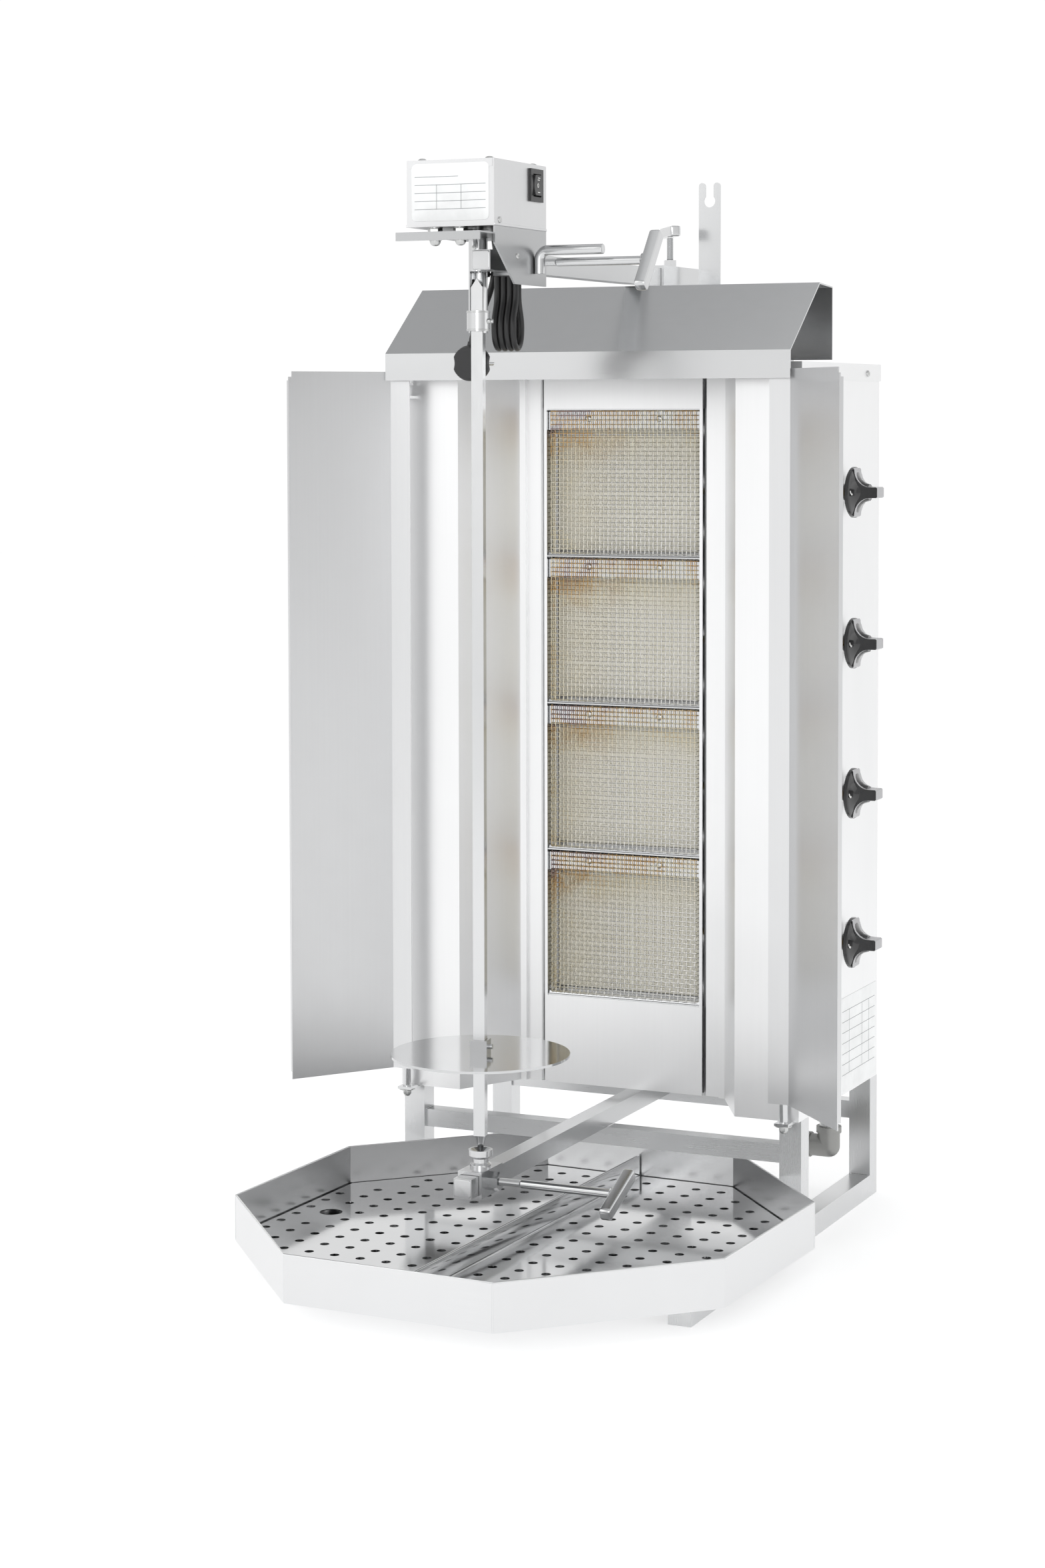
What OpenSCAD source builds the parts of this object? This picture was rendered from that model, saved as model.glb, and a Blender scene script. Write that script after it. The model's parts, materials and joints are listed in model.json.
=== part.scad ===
// Vertical rotisserie broiler: a column of ceramic gas burners behind a spit that is
// driven from above, with swinging side wings and an octagonal drip tray.
// Units are millimetres. +X is the knob side, -Y is the cook's side, +Z is up.
// Origin: floor level, on the centre plane, at the front face of the front legs.

/* [Base frame] */
// Overall width of the two side frames
frame_w = 480; // [400:1:600]
// Square tube of rails and legs
tube = 25; // [20:1:40]
// Wall of every square tube
tube_wall = 1.5; // [1:0.1:3]
// Front end of the floor rails, measured forward from the front legs
rail_reach = 324; // [200:1:400]
// Rear face of the rear legs
frame_back = 262; // [200:1:350]
// Square tube of the cross ties and of the two arms
arm_tube = 20; // [16:1:30]
// Height of the underside of the cross ties
tie_z = 89; // [80:1:105]

/* [Body] */
// Underside of the burner cabinet
body_z = 138; // [132:1:200]
// Top of the cabinet cover
body_top = 958; // [700:1:1200]
// Sheet thickness of cabinet, hood and wings
sheet = 1.5; // [0.8:0.1:3]
// Half width of the niche at its mouth
niche_front = 166; // [140:1:190]
// Half width of the niche at the burners
niche_back = 125; // [110:1:150]
// Depth of the niche behind the front legs
niche_depth = 73; // [50:1:100]
// Drop of the cover flange down the side panels
cover_drop = 19; // [10:1:30]

/* [Burners] */
// Number of burners, one above the other
burners = 4; // [1:1:5]
// Spacing of the burners
burner_pitch = 167.5; // [150:0.5:190]
// Top edge of the uppermost burner
burner_top = 908; // [700:1:930]
// Ceramic plaque width
plaque_w = 92; // [80:1:100]
// Ceramic plaque height
plaque_h = 132; // [120:1:150]
// Distance from the guard mesh to the plaques
burner_recess = 26; // [15:1:35]
// Spacing of the guard wires in this simplified mesh
mesh_pitch = 20; // [10:1:40]

/* [Hood] */
// Front lip of the hood, forward of the front legs
hood_front = 41; // [20:1:80]
// Highest fold of the hood
hood_top = 1044; // [1000:1:1045]

/* [Wings] */
// Width of a wing from its fold to its outer edge
wing_w = 127; // [100:1:180]
// Depth of the return along the wings' free edges
wing_hem = 3; // [2:0.5:12]
// Swing of the left wing, from pointing straight out
wing_left_angle = 54; // [10:1:75]
// Swing of the right wing, from pointing straight out
wing_right_angle = 47; // [10:1:75]
// Bottom edge of the wings
wing_z = 162; // [140:1:200]
// Top edge of the wings
wing_top = 950; // [800:1:955]

/* [Spit] */
// Spit axis, forward of the front legs
spit_reach = 303; // [280:1:320]
// Square spit bar
spit_bar = 12; // [8:0.5:14]
// Height of the spit's pointed top
spit_top = 1039; // [900:1:1042]
// Height of the plate that carries the meat
disc_z = 250; // [200:1:600]
// Diameter of the meat plate
disc_d = 184; // [120:1:260]
// Turn of the spit about its axis as drawn
spit_turn = 11.4; // [0:0.1:90]

/* [Drip tray] */
// Half width of the octagonal tray
tray_half_w = 282; // [240:1:320]
// Half length of the octagonal tray
tray_half_l = 298; // [240:1:320]
// Centre of the tray, forward of the front legs
tray_reach = 198; // [190:1:260]
// Corner cut along the width
tray_cut_x = 166; // [100:1:200]
// Corner cut along the length
tray_cut_y = 177; // [100:1:200]
// Height of the tray wall
tray_h = 49.5; // [30:0.5:58]
// Turn of the loose tray on its rails
tray_turn = -2; // [-3:0.1:3]
// Spacing of the modelled drain holes, twice that of the real ones, across
drain_pitch_x = 61; // [50:0.5:80]
// The same from front to back
drain_pitch_y = 63.6; // [50:0.2:80]

/* [Hidden] */
eps = 0.01;
fw = frame_w / 2;
leg_in = fw - tube;
tie_top = tie_z + arm_tube;
arm_z = tie_top;
sy = -spit_reach;
fit = 0.3;
steel = [0.80, 0.81, 0.82];
satin = [0.74, 0.75, 0.77];
bright = [0.86, 0.87, 0.88];
// Cabinet planes
back_y = frame_back - 1;
plate_y = niche_depth;
plaque_y = plate_y + sheet + 1 + burner_recess;
open_half = 93;
open_top = burner_top;
open_bottom = burner_top - burners * burner_pitch;
knob_y = 135;
knob_dz = -93;
// Upper arm
ua_x = 21;
ua_z = 1056;
arm_front = sy - 37;
slv = arm_tube + 6.8;
// Lower carriage
lc_front = sy - 26;
lc_back = sy + 24;
// Motor carriage
mc_front = -367;
mc_back = -242;
mc_z = 1088;
mc_w = 96;
mc_h = 66;
// Drive tube
dt_od = 19.2;
dt_id = 17.2;
dt_z0 = 984;
dt_z1 = 1085;
// Route of the free cord: strain relief to hank, then hank to plug
cord_d = 6.4;
cord_a = [[-34, -238.6, 1124], [-34, -228, 1124], [-34, -217, 1124], [-31.5, -204, 1123],
          [-26, -193.5, 1119.5], [-18.5, -186, 1113], [-11, -183, 1104.5], [-6, -184, 1095],
          [-3.5, -188, 1084], [-2.3, -193.5, 1073], [-1, -199, 1062.5], [-0.1, -203.5, 1052],
          [0.2, -206.2, 1040.4]];
cord_b = [[-20.7, -217.2, 1110.4], [-25.1, -204.2, 1104], [-27.6, -199.9, 1097.5],
          [-27.9, -199.1, 1090.4], [-27.6, -201, 1081], [-26.6, -205.4, 1072],
          [-25.6, -210, 1061], [-25.2, -211.6, 1050], [-26, -213, 1040], [-28, -216, 1028],
          [-31, -221, 1015], [-34.5, -226.5, 1002], [-37.5, -231, 990], [-39.5, -234.3, 981],
          [-40, -235, 973]];
// Plug at the cord's end
plug_x = -40;
plug_z = 955;
// Middle of the cord's hank, its turn, its thickness, and the radius of its end loops
hank_x = -8;
hank_y = -214.5;
hank_z = 1040.4;
hank_turn = 12;
hank_t = 26;
hank_r = 23.2;
// Hinge pins of the wings
pin_x = 227;
pin_y = -20;
pin_d = 5;
// Gas line
rail_x = 190;
rail_y = 168;
riser_x = 214;

// ---------- helpers ----------

// Solid box from two opposite corners.
module slab(a, b)
  translate(a)
    cube(b - a);

// Closed square tube along Y from corner p.
module tube_y(p, w, len)
  difference() {
    translate(p)
      cube([w, len, w]);
    translate(p + [tube_wall, tube_wall, tube_wall])
      cube([w - 2 * tube_wall, len - 2 * tube_wall, w - 2 * tube_wall]);
  }

// Closed square tube along X from corner p.
module tube_x(p, w, len)
  difference() {
    translate(p)
      cube([len, w, w]);
    translate(p + [tube_wall, tube_wall, tube_wall])
      cube([len - 2 * tube_wall, w - 2 * tube_wall, w - 2 * tube_wall]);
  }

// Cylinder along X starting at p.
module rod_x(p, d, len)
  translate(p)
    rotate([0, 90, 0])
      cylinder(d = d, h = len, $fn = 32);

// Cylinder along Y starting at p.
module rod_y(p, d, len)
  translate(p)
    rotate([-90, 0, 0])
      cylinder(d = d, h = len, $fn = 32);

// Cylinder along Z starting at p.
module rod_z(p, d, len)
  translate(p)
    cylinder(d = d, h = len, $fn = 32);

// Hexagon prism along X starting at p, across flats af.
module hex_x(p, af, len)
  translate(p)
    rotate([0, 90, 0])
      cylinder(d = af / cos(30), h = len, $fn = 6);

// Round-ended tube that follows a list of points.
function unit(v) = v / norm(v);
function turned(v, w) = cross(v, w);
module swept(path, d, sides) {
  n = len(path);
  dirs = [for (i = [0:n - 1])
    unit(path[min(i + 1, n - 1)] - path[max(i - 1, 0)])];
  ups = [for (i = [0:n - 1])
    let (s = abs(dirs[i][0]) > 0.9 ? [0, 1, 0] : [1, 0, 0])
    unit(s - (s * dirs[i]) * dirs[i])];
  pts = [for (i = [0:n - 1])
    for (k = [0:sides - 1])
      let (a = 360 * k / sides)
      path[i] + d / 2 * (cos(a) * ups[i] + sin(a) * turned(dirs[i], ups[i]))];
  sides_faces = [for (i = [0:n - 2])
    for (k = [0:sides - 1])
      let (k2 = (k + 1) % sides)
      [i * sides + k, (i + 1) * sides + k, (i + 1) * sides + k2, i * sides + k2]];
  caps = [[for (k = [0:sides - 1]) k],
          [for (k = [0:sides - 1]) n * sides - 1 - k]];
  polyhedron(points = pts, faces = concat(sides_faces, caps), convexity = 6);
}

// ---------- base frame ----------

// Floor rail with its two legs, on the side s = -1 or 1.
module side_frame(s) {
  x0 = s > 0 ? leg_in : -fw;
  tube_y([x0, -rail_reach, 0], tube, rail_reach + frame_back);
  for (y = [0, frame_back - tube])
    difference() {
      slab([x0, y, tube], [x0 + tube, y + tube, body_z]);
      slab([x0 + tube_wall, y + tube_wall, tube + tube_wall],
           [x0 + tube - tube_wall, y + tube - tube_wall, body_z - tube_wall]);
    }
}

module side_frame_left()
  color(steel)
    side_frame(-1);

module side_frame_right()
  color(steel)
    side_frame(1);

// Two ties between the legs, with the front one carrying the lower arm.
module cross_ties()
  color(steel) {
    tube_x([-leg_in, 4, tie_z], arm_tube, 2 * leg_in);
    tube_x([-leg_in, frame_back - 22, tie_z], arm_tube, 2 * leg_in);
  }

// Bar that reaches forward under the spit.
module lower_arm()
  color(bright)
    tube_y([-arm_tube / 2, arm_front - 6, arm_z], arm_tube, frame_back - 2 - arm_front + 6);

// ---------- cabinet ----------

module side_panel_left()
  color(satin)
    slab([-fw, -8, body_z], [-fw + sheet, back_y - sheet, body_top - sheet]);

module side_panel_right()
  color(satin)
    difference() {
      slab([fw - sheet, -8, body_z], [fw, back_y - sheet, body_top - sheet]);
      for (i = [0:burners - 1])
        rod_x([fw - sheet - 1, knob_y, burner_top + knob_dz - i * burner_pitch], 16, sheet + 2);
    }

// Rear panel with rows of vent slots.
module back_panel()
  color(satin)
    difference() {
      slab([-fw, back_y - sheet, body_z], [fw, back_y, body_top - sheet]);
      for (z = [220:60:880])
        for (x = [-150:75:150])
          slab([x - 25, back_y - sheet - 1, z], [x + 25, back_y + 1, z + 6]);
    }

// Cover with its flanges outside the side and rear panels.
module top_cover()
  color(satin) {
    difference() {
      slab([-fw - sheet, niche_depth + 4, body_top - sheet], [fw + sheet, back_y + sheet, body_top]);
      for (x = [-180, 180])
        rod_z([x, 230, body_top - sheet - 1], 12, sheet + 2);
    }
    for (s = [-1, 1])
      slab([s > 0 ? fw : -fw - sheet, -8, body_top - cover_drop],
           [s > 0 ? fw + sheet : -fw, back_y + sheet, body_top - sheet]);
    slab([-fw, back_y, body_top - cover_drop], [fw, back_y + sheet, body_top - sheet]);
    for (s = [-1, 1])
      slab([s > 0 ? niche_front + 4 : -fw - sheet, -8, body_top - sheet],
           [s > 0 ? fw + sheet : -niche_front - 4, niche_depth + 4, body_top]);
  }

// Bottom pan between the panels, open to the niche.
module base_pan()
  color(satin)
    difference() {
      slab([-fw + sheet, niche_depth + 8, body_z], [fw - sheet, back_y - sheet, body_z + sheet]);
      rod_z([riser_x, rail_y, body_z - 1], 30 - 3, sheet + 2);
    }

// Bent sheet: pillar face, flared wall and the strip beside the burners.
module niche_wall()
  translate([0, 0, body_z])
    linear_extrude(height = body_top - sheet - body_z)
      polygon([[fw - sheet, -8], [niche_front, -8], [niche_back, niche_depth - 4],
               [118, niche_depth - 4], [118, niche_depth + 1], [101, niche_depth + 1],
               [97, niche_depth + 5], [97, niche_depth + 6.5], [101.6, niche_depth + 2.5],
               [119.5, niche_depth + 2.5], [119.5, niche_depth - 2.5],
               [niche_back + 1, niche_depth - 2.5], [niche_front + 1, -6.5],
               [fw - sheet, -6.5]]);

module niche_right()
  color(satin)
    niche_wall();

module niche_left()
  color(satin)
    mirror([1, 0, 0])
      niche_wall();

// Sheet round the burner stack.
module burner_plate()
  color(satin)
    difference() {
      slab([-96.5, plate_y, body_z], [96.5, plate_y + sheet, 944]);
      slab([-open_half, plate_y - 1, open_bottom], [open_half, plate_y + sheet + 1, open_top]);
    }

// Bent sheet over the niche, open at both ends.
module hood() {
  a = [[-hood_front, 940], [-hood_front, 970], [53, hood_top], [96, hood_top - 3],
       [96, body_top + 3]];
  color(satin) {
    translate([-fw, 0, 0])
      rotate([90, 0, 90])
        linear_extrude(height = 2 * fw)
          polygon([a[0], a[1], a[2], a[3], a[4], a[4] + [-sheet, 0], a[3] + [-sheet, -sheet],
                   a[2] + [0.5, -sheet - 0.3], a[1] + [sheet, -0.8], a[0] + [sheet, 0]]);
    for (x = [-180, 0, 180])
      slab([x - 15, 94.5 - 18, body_top], [x + 15, 96, body_top + 3]);
  }
}

// Upright flat bar with an open keyhole at the top.
module hanger_plate()
  color(bright) {
    translate([47, 190, body_top])
      rotate([90, 0, 0])
        linear_extrude(height = 2.5)
          difference() {
            union() {
              square([26, 204]);
              translate([4, 204])
                circle(r = 4, $fn = 32);
              translate([22, 204])
                circle(r = 4, $fn = 32);
            }
            translate([13, 187])
              circle(r = 7, $fn = 40);
            translate([8, 187])
              square([10, 30]);
          }
    slab([47, 190, body_top], [73, 212, body_top + 2.5]);
  }

// ---------- burners ----------

function burner_z(i) = burner_top - i * burner_pitch;

// Shelves, side walls, face frames and gas boxes of all burners.
module burner_housings()
  color(bright) {
    for (i = [0:burners])
      slab([-open_half, plate_y + sheet, burner_z(i) - (i == 0 ? sheet : 0)],
           [open_half, plaque_y, burner_z(i) + (i == 0 ? 0 : sheet)]);
    for (s = [-1, 1])
      slab([s > 0 ? open_half : -open_half - sheet, plate_y + sheet, open_bottom],
           [s > 0 ? open_half + sheet : -open_half, plaque_y, open_top]);
    for (i = [0:burners - 1]) {
      zc = burner_z(i) - 95.5;
      difference() {
        slab([-open_half - sheet, plaque_y, burner_z(i) - burner_pitch],
             [open_half + sheet, plaque_y + 45, burner_z(i)]);
        slab([-plaque_w, plaque_y - 1, zc - plaque_h / 2],
             [plaque_w, plaque_y + 13, zc + plaque_h / 2]);
        slab([-plaque_w + 4, plaque_y + 10, zc - plaque_h / 2 + 4],
             [plaque_w - 4, plaque_y + 43.5, zc + plaque_h / 2 - 4]);
      }
    }
  }

// Two ceramic plaques side by side.
module plaques(i)
  color([0.86, 0.83, 0.74])
    for (s = [0, 1])
      slab([-plaque_w + fit + s * plaque_w, plaque_y + 0.5, burner_z(i) - 95.5 - plaque_h / 2 + fit],
           [-fit + s * plaque_w, plaque_y + 12.9, burner_z(i) - 95.5 + plaque_h / 2 - fit]);

module plaques_1() plaques(0);
module plaques_2() plaques(1);
module plaques_3() plaques(2);
module plaques_4() plaques(3);

// Guard basket: front grid with a returned edge all round.
module guard(i)
  color([0.62, 0.60, 0.56])
    translate([0, plate_y + sheet + 1.2, burner_z(i) - burner_pitch]) {
      rotate([90, 0, 0])
        linear_extrude(height = 1)
          difference() {
            translate([-90, 6])
              square([180, burner_pitch - 12]);
            for (x = [-88:mesh_pitch:72])
              for (z = [8:mesh_pitch:burner_pitch - 26])
                translate([x, z])
                  square([mesh_pitch - 1.6, mesh_pitch - 1.6]);
          }
      for (s = [-1, 1])
        for (z = [8:mesh_pitch:burner_pitch - 20])
          slab([s * 89.4 - 0.6, 0, z - 1.4], [s * 89.4 + 0.6, 18, z]);
    }

module mesh_1() guard(0);
module mesh_2() guard(1);
module mesh_3() guard(2);
module mesh_4() guard(3);

// ---------- gas line ----------

// Vertical manifold with one branch and one burner tube for each tap.
module gas_rail()
  color([0.72, 0.66, 0.45]) {
    difference() {
      union() {
        rod_z([rail_x, rail_y, 168], 21, 680);
        rod_x([rail_x, rail_y, 178], 17, riser_x - rail_x);
        rod_z([riser_x, rail_y, 95], 21.3, 96);
        for (i = [0:burners - 1])
          rod_y([rail_x, knob_y + 9, burner_z(i) + knob_dz], 11, rail_y - knob_y - 9);
      }
      rod_z([rail_x, rail_y, 171], 16, 674);
      rod_x([rail_x, rail_y, 178], 12, riser_x - rail_x);
      rod_z([riser_x, rail_y, 94], 16, 94);
      for (i = [0:burners - 1])
        rod_y([rail_x, knob_y + 8, burner_z(i) + knob_dz], 7, rail_y - knob_y - 9);
    }
  }

// Riser and malleable-iron elbow below the cabinet.
module supply_elbow()
  color([0.55, 0.55, 0.55])
    difference() {
      union() {
        rod_z([riser_x, rail_y, 88], 28.5, 7);
        rod_z([riser_x, rail_y, 72], 25, 16);
        translate([riser_x, rail_y, 72])
          sphere(d = 25, $fn = 32);
        rod_x([riser_x - 24, rail_y, 72], 25, 24);
        rod_x([riser_x - 28, rail_y, 72], 28.5, 7);
      }
      rod_x([riser_x - 29, rail_y, 72], 18.6, 17);
    }

// Tap bodies behind the side panel.
module gas_valves()
  color([0.75, 0.67, 0.42])
    for (i = [0:burners - 1]) {
      z = burner_z(i) + knob_dz;
      difference() {
        union() {
          slab([186, knob_y - 9, z - 11], [212, knob_y + 9, z + 11]);
          rod_x([212, knob_y, z], 18, 16);
          rod_x([open_half + sheet + 0.1, knob_y, z], 8, 100);
        }
        rod_x([200, knob_y, z], 8.6, 30);
      }
    }

// D-section spindle.
module stem(i) {
  z = burner_z(i) + knob_dz;
  color([0.75, 0.67, 0.42])
    difference() {
      rod_x([202, knob_y, z], 8, 60);
      slab([243, knob_y - 5, z + 2.6], [263, knob_y + 5, z + 5]);
    }
}

module stem_1() stem(0);
module stem_2() stem(1);
module stem_3() stem(2);
module stem_4() stem(3);

// Round skirt with a bar grip; the bore leaves room to push.
module knob(i) {
  z = burner_z(i) + knob_dz;
  color([0.06, 0.06, 0.065])
    difference() {
      union() {
        translate([250, knob_y, z])
          rotate([0, 90, 0])
            rotate_extrude($fn = 48)
              polygon([[0, 0], [27, 0], [28.3, 1.2], [28.3, 4], [25, 5.8], [19, 8], [14, 11.5],
                       [10.6, 16], [9.2, 21], [0, 21]]);
        translate([255, knob_y + 12.2, z])
          rotate([90, 0, 0])
            linear_extrude(height = 24.4)
              polygon([[0, -27], [3, -21], [9, -12], [19, -6], [28, -6],
                       [28, 6], [19, 6], [9, 12], [3, 21], [0, 27]]);
      }
      rod_x([249, knob_y, z], 8.1, 17);
    }
}

module knob_1() knob(0);
module knob_2() knob(1);
module knob_3() knob(2);
module knob_4() knob(3);

// ---------- wings ----------

// Pins with their brackets on the pillars, two to a side.
module wing_hinges()
  color(bright)
    for (s = [-1, 1]) {
      rod_z([s * pin_x, pin_y, 129], pin_d, 43);
      rod_z([s * pin_x, pin_y, 918], pin_d, 26);
      for (z = [136.5, 920])
        slab([s * pin_x - 8, pin_y - 8, z], [s * pin_x + 8, -8, z + 3]);
      slab([s * pin_x - 8, -8, 136.5], [s * pin_x + 8, 0, 138]);
      rod_z([s * pin_x, pin_y, 139.5], 9, 22.2);
      rod_z([s * pin_x, pin_y, 923], 9, 11.7);
      translate([s * pin_x, pin_y, 131])
        cylinder(d = 9.2, h = 5.5, $fn = 6);
    }

// Point of the wing's sheet: u along it from the fold, v off its inner face.
function wing_pt(a, u, v) =
  [238 + u * cos(a) + v * sin(a), -32 - u * sin(a) + v * cos(a)];

// Wing folded by the angle a, with a hem and pin tabs.
module wing(a) {
  difference() {
    translate([0, 0, wing_z])
      linear_extrude(height = wing_top - wing_z)
        polygon([[214, -32], [238, -32], wing_pt(a, wing_w, 0), wing_pt(a, wing_w, -sheet),
                 [238 - sheet * tan(a / 2), -32 - sheet], [214, -32 - sheet]]);
    translate([238, -32, wing_top - 6])
      rotate([0, 0, -a])
        slab([wing_w - 4, -sheet - 1, 0], [wing_w + 1, 1, 7]);
  }
  translate([0, 0, wing_z + 8])
    linear_extrude(height = wing_top - wing_z - 18)
      polygon([wing_pt(a, wing_w, -sheet / 2), wing_pt(a, wing_w, wing_hem),
               wing_pt(a, wing_w - sheet, wing_hem), wing_pt(a, wing_w - sheet, -sheet / 2)]);
  for (z = [wing_z + 1, 935])
    difference() {
      slab([219, -32.5, z], [235, -13.5, z + 2]);
      rod_z([pin_x, pin_y, z - 1], pin_d + 0.6, 4);
    }
}

module wing_right()
  color(satin)
    wing(wing_right_angle);

module wing_left()
  color(satin)
    mirror([1, 0, 0])
      wing(wing_left_angle);

// ---------- upper arm ----------

// Square socket on an upright behind the hood.
module arm_socket()
  color(bright) {
    difference() {
      slab([ua_x - slv / 2, 112, ua_z - slv / 2], [ua_x + slv / 2, 236, ua_z + slv / 2]);
      slab([ua_x - arm_tube / 2 - fit, 111, ua_z - arm_tube / 2 - fit],
           [ua_x + arm_tube / 2 + fit, 234, ua_z + arm_tube / 2 + fit]);
      rod_z([ua_x, 164, ua_z], 8.6, 30);
    }
    difference() {
      translate([ua_x, 164, ua_z + slv / 2])
        cylinder(d = 15, h = 8, $fn = 6);
      rod_z([ua_x, 164, ua_z], 8.6, 40);
    }
    slab([ua_x - 12.5, 205, body_top + 3], [ua_x + 12.5, 230, ua_z - slv / 2]);
    slab([ua_x - 32, 192, body_top], [ua_x + 22, 243, body_top + 3]);
  }

// Bar that carries the motor carriage.
module upper_arm()
  color(bright)
    tube_y([ua_x - arm_tube / 2, arm_front, ua_z - arm_tube / 2], arm_tube, 232 - arm_front);

// Clamp screw drawn along +X: threaded end, rod and cross bar turned by a.
module clamp_screw(len, a) {
  rod_x([0, 0, 0], 8, 22);
  rod_x([22, 0, 0], 9, len - 22);
  rotate([a, 0, 0])
    slab([len, -7, -36], [len + 12, 7, 36]);
}

// Vertical screw that locks the bar in its socket.
module socket_clamp()
  color(bright) {
    rod_z([ua_x, 164, ua_z + arm_tube / 2 + fit], 8, 37);
    translate([ua_x, 164, ua_z + arm_tube / 2 + fit + 37])
      rotate([0, 0, 34.6])
        slab([-6, -30, 0], [6, 30, 12]);
  }

// ---------- motor carriage ----------

// Plate, side cheek and sleeve that slide on the upper arm.
module motor_bracket()
  color(satin) {
    difference() {
      slab([-46, -396, mc_z - 8], [46, mc_back, mc_z - 6.5]);
      rod_z([0, sy, mc_z - 9], 24, 4);
    }
    slab([-46, -396, mc_z - 15], [46, -394.5, mc_z - 8]);
    translate([46, 0, 0])
      rotate([90, 0, 90])
        linear_extrude(height = 2)
          difference() {
            polygon([[-365, mc_z], [-365, 1071], [-318, 1032], [mc_back, 1032],
                     [mc_back, mc_z]]);
            translate([sy + 46, ua_z])
              circle(d = 8.6, $fn = 32);
          }
    difference() {
      slab([ua_x - slv / 2, -283, ua_z - slv / 2], [ua_x + slv / 2, -243, ua_z + slv / 2]);
      slab([ua_x - arm_tube / 2 - fit, -284, ua_z - arm_tube / 2 - fit],
           [ua_x + arm_tube / 2 + fit, -242, ua_z + arm_tube / 2 + fit]);
      rod_x([ua_x, sy + 46, ua_z], 8.6, 30);
    }
    difference() {
      hex_x([ua_x + slv / 2, sy + 46, ua_z], 17, 46 - ua_x - slv / 2);
      rod_x([ua_x, sy + 46, ua_z], 8.6, 30);
    }
    slab([ua_x - slv / 2, -283, ua_z + slv / 2], [ua_x + slv / 2, -243, mc_z - 8]);
    for (x = [-22, 6]) {
      rod_z([x, -356, mc_z - 6.5], 9, 6.5);
      rod_z([x, -356, mc_z - 17], 8, 9);
    }
    for (x = [-30, 30])
      rod_z([x, -256, mc_z - 6.5], 9, 6.5);
  }

// Bent round bar for pushing and pulling the carriage.
module pull_handle()
  color(bright) {
    rod_x([53.4, -270, 1067.5], 10.5, 70);
    rod_z([53.4, -270, 1044], 10.5, 23.5);
    translate([53.4, -270, 1067.5])
      sphere(d = 10.5, $fn = 24);
  }

module upper_clamp()
  color(bright)
    translate([ua_x + arm_tube / 2 + 0.2, sy + 46, ua_z])
      clamp_screw(130, -38);

// Sheet cover of the gearmotor.
module motor_case()
  color(satin)
    difference() {
      slab([-mc_w / 2, mc_front, mc_z], [mc_w / 2, mc_back, mc_z + mc_h]);
      slab([-mc_w / 2 + sheet, mc_front + sheet, mc_z + sheet],
           [mc_w / 2 - sheet, mc_back - sheet, mc_z + mc_h - sheet]);
      rod_z([0, sy, mc_z - 1], 24, 4);
      rod_y([cord_a[0][0], mc_back - 3, cord_a[0][2]], 8, 6);
      slab([mc_w / 2 - 3, -281, 1120], [mc_w / 2 + 1, -257, 1146]);
    }

// Gearbox and motor inside the case.
module gearmotor()
  color([0.35, 0.36, 0.38])
    difference() {
      union() {
        slab([-30, sy - 32, mc_z + 2], [30, sy + 26, mc_z + 30]);
        rod_z([0, sy - 4, mc_z + 30], 50, 30);
      }
      rod_z([0, sy, mc_z + 1], 14, 26);
    }

module switch_bezel()
  color([0.05, 0.05, 0.055])
    difference() {
      union() {
        slab([48, -284, 1116.5], [50.5, -254, 1149.5]);
        slab([36, -280.7, 1120.3], [48, -257.3, 1145.7]);
      }
      slab([38, -278.5, 1121.5], [52, -259.5, 1144.5]);
    }

// Three-position rocker in its middle position.
module rocker()
  color([0.16, 0.16, 0.17])
    translate([46, -278, 1133])
      rotate([-90, 0, 0])
        linear_extrude(height = 18)
          polygon([[-4, -8], [4, -10.4], [7.5, -10], [5.8, 0], [7.5, 10], [4, 10.4], [-4, 8]]);

// ---------- drive ----------

// Slotted tube on the gearmotor shaft.
module drive_tube()
  color([0.9, 0.9, 0.91])
    translate([0, sy, 0])
      rotate([0, 0, spit_turn])
        union() {
          difference() {
            rod_z([0, 0, dt_z0], dt_od, dt_z1 - dt_z0);
            rod_z([0, 0, dt_z0 - 1], dt_id, 1048 - dt_z0);
            slab([-spit_bar / 2 - 0.6, -20, dt_z0 - 1], [spit_bar / 2 + 0.6, 0, 1046]);
          }
          rod_z([0, 0, dt_z1], 12, 26);
        }

// Sliding ring that closes the slot round the spit.
module lock_collar()
  color([0.9, 0.9, 0.91])
    translate([0, sy, 0])
      rotate([0, 0, spit_turn])
        difference() {
          union() {
            rod_z([0, 0, 986], 23, 20.5);
            rod_x([10.6, 0, 996], 4, 5);
          }
          rod_z([0, 0, 985], dt_od + 0.6, 23);
        }

// ---------- cord ----------

module power_cord()
  color([0.05, 0.05, 0.05]) {
    swept(cord_a, cord_d, 10);
    swept(cord_b, cord_d, 10);
  }

// Outer shape of one side of the hank, waist to end loop, as [out, up].
hank_side = [[9.6, 0], [9.6, 13.4], [12.6, 25.4], [20.3, 37.4], [hank_r, 50]];

// Hank of folded runs, tied at its waist, beside the bar.
module cord_hank()
  color([0.05, 0.05, 0.05])
    translate([hank_x, hank_y, hank_z])
      rotate([90, 0, 90 + hank_turn])
        linear_extrude(height = hank_t, center = true)
          for (m = [0, 1])
            mirror([0, m]) {
              translate([0, 50])
                circle(r = hank_r, $fn = 48);
              polygon(concat(hank_side, [for (k = [4:-1:0]) [-hank_side[k][0], hank_side[k][1]]]));
            }

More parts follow.
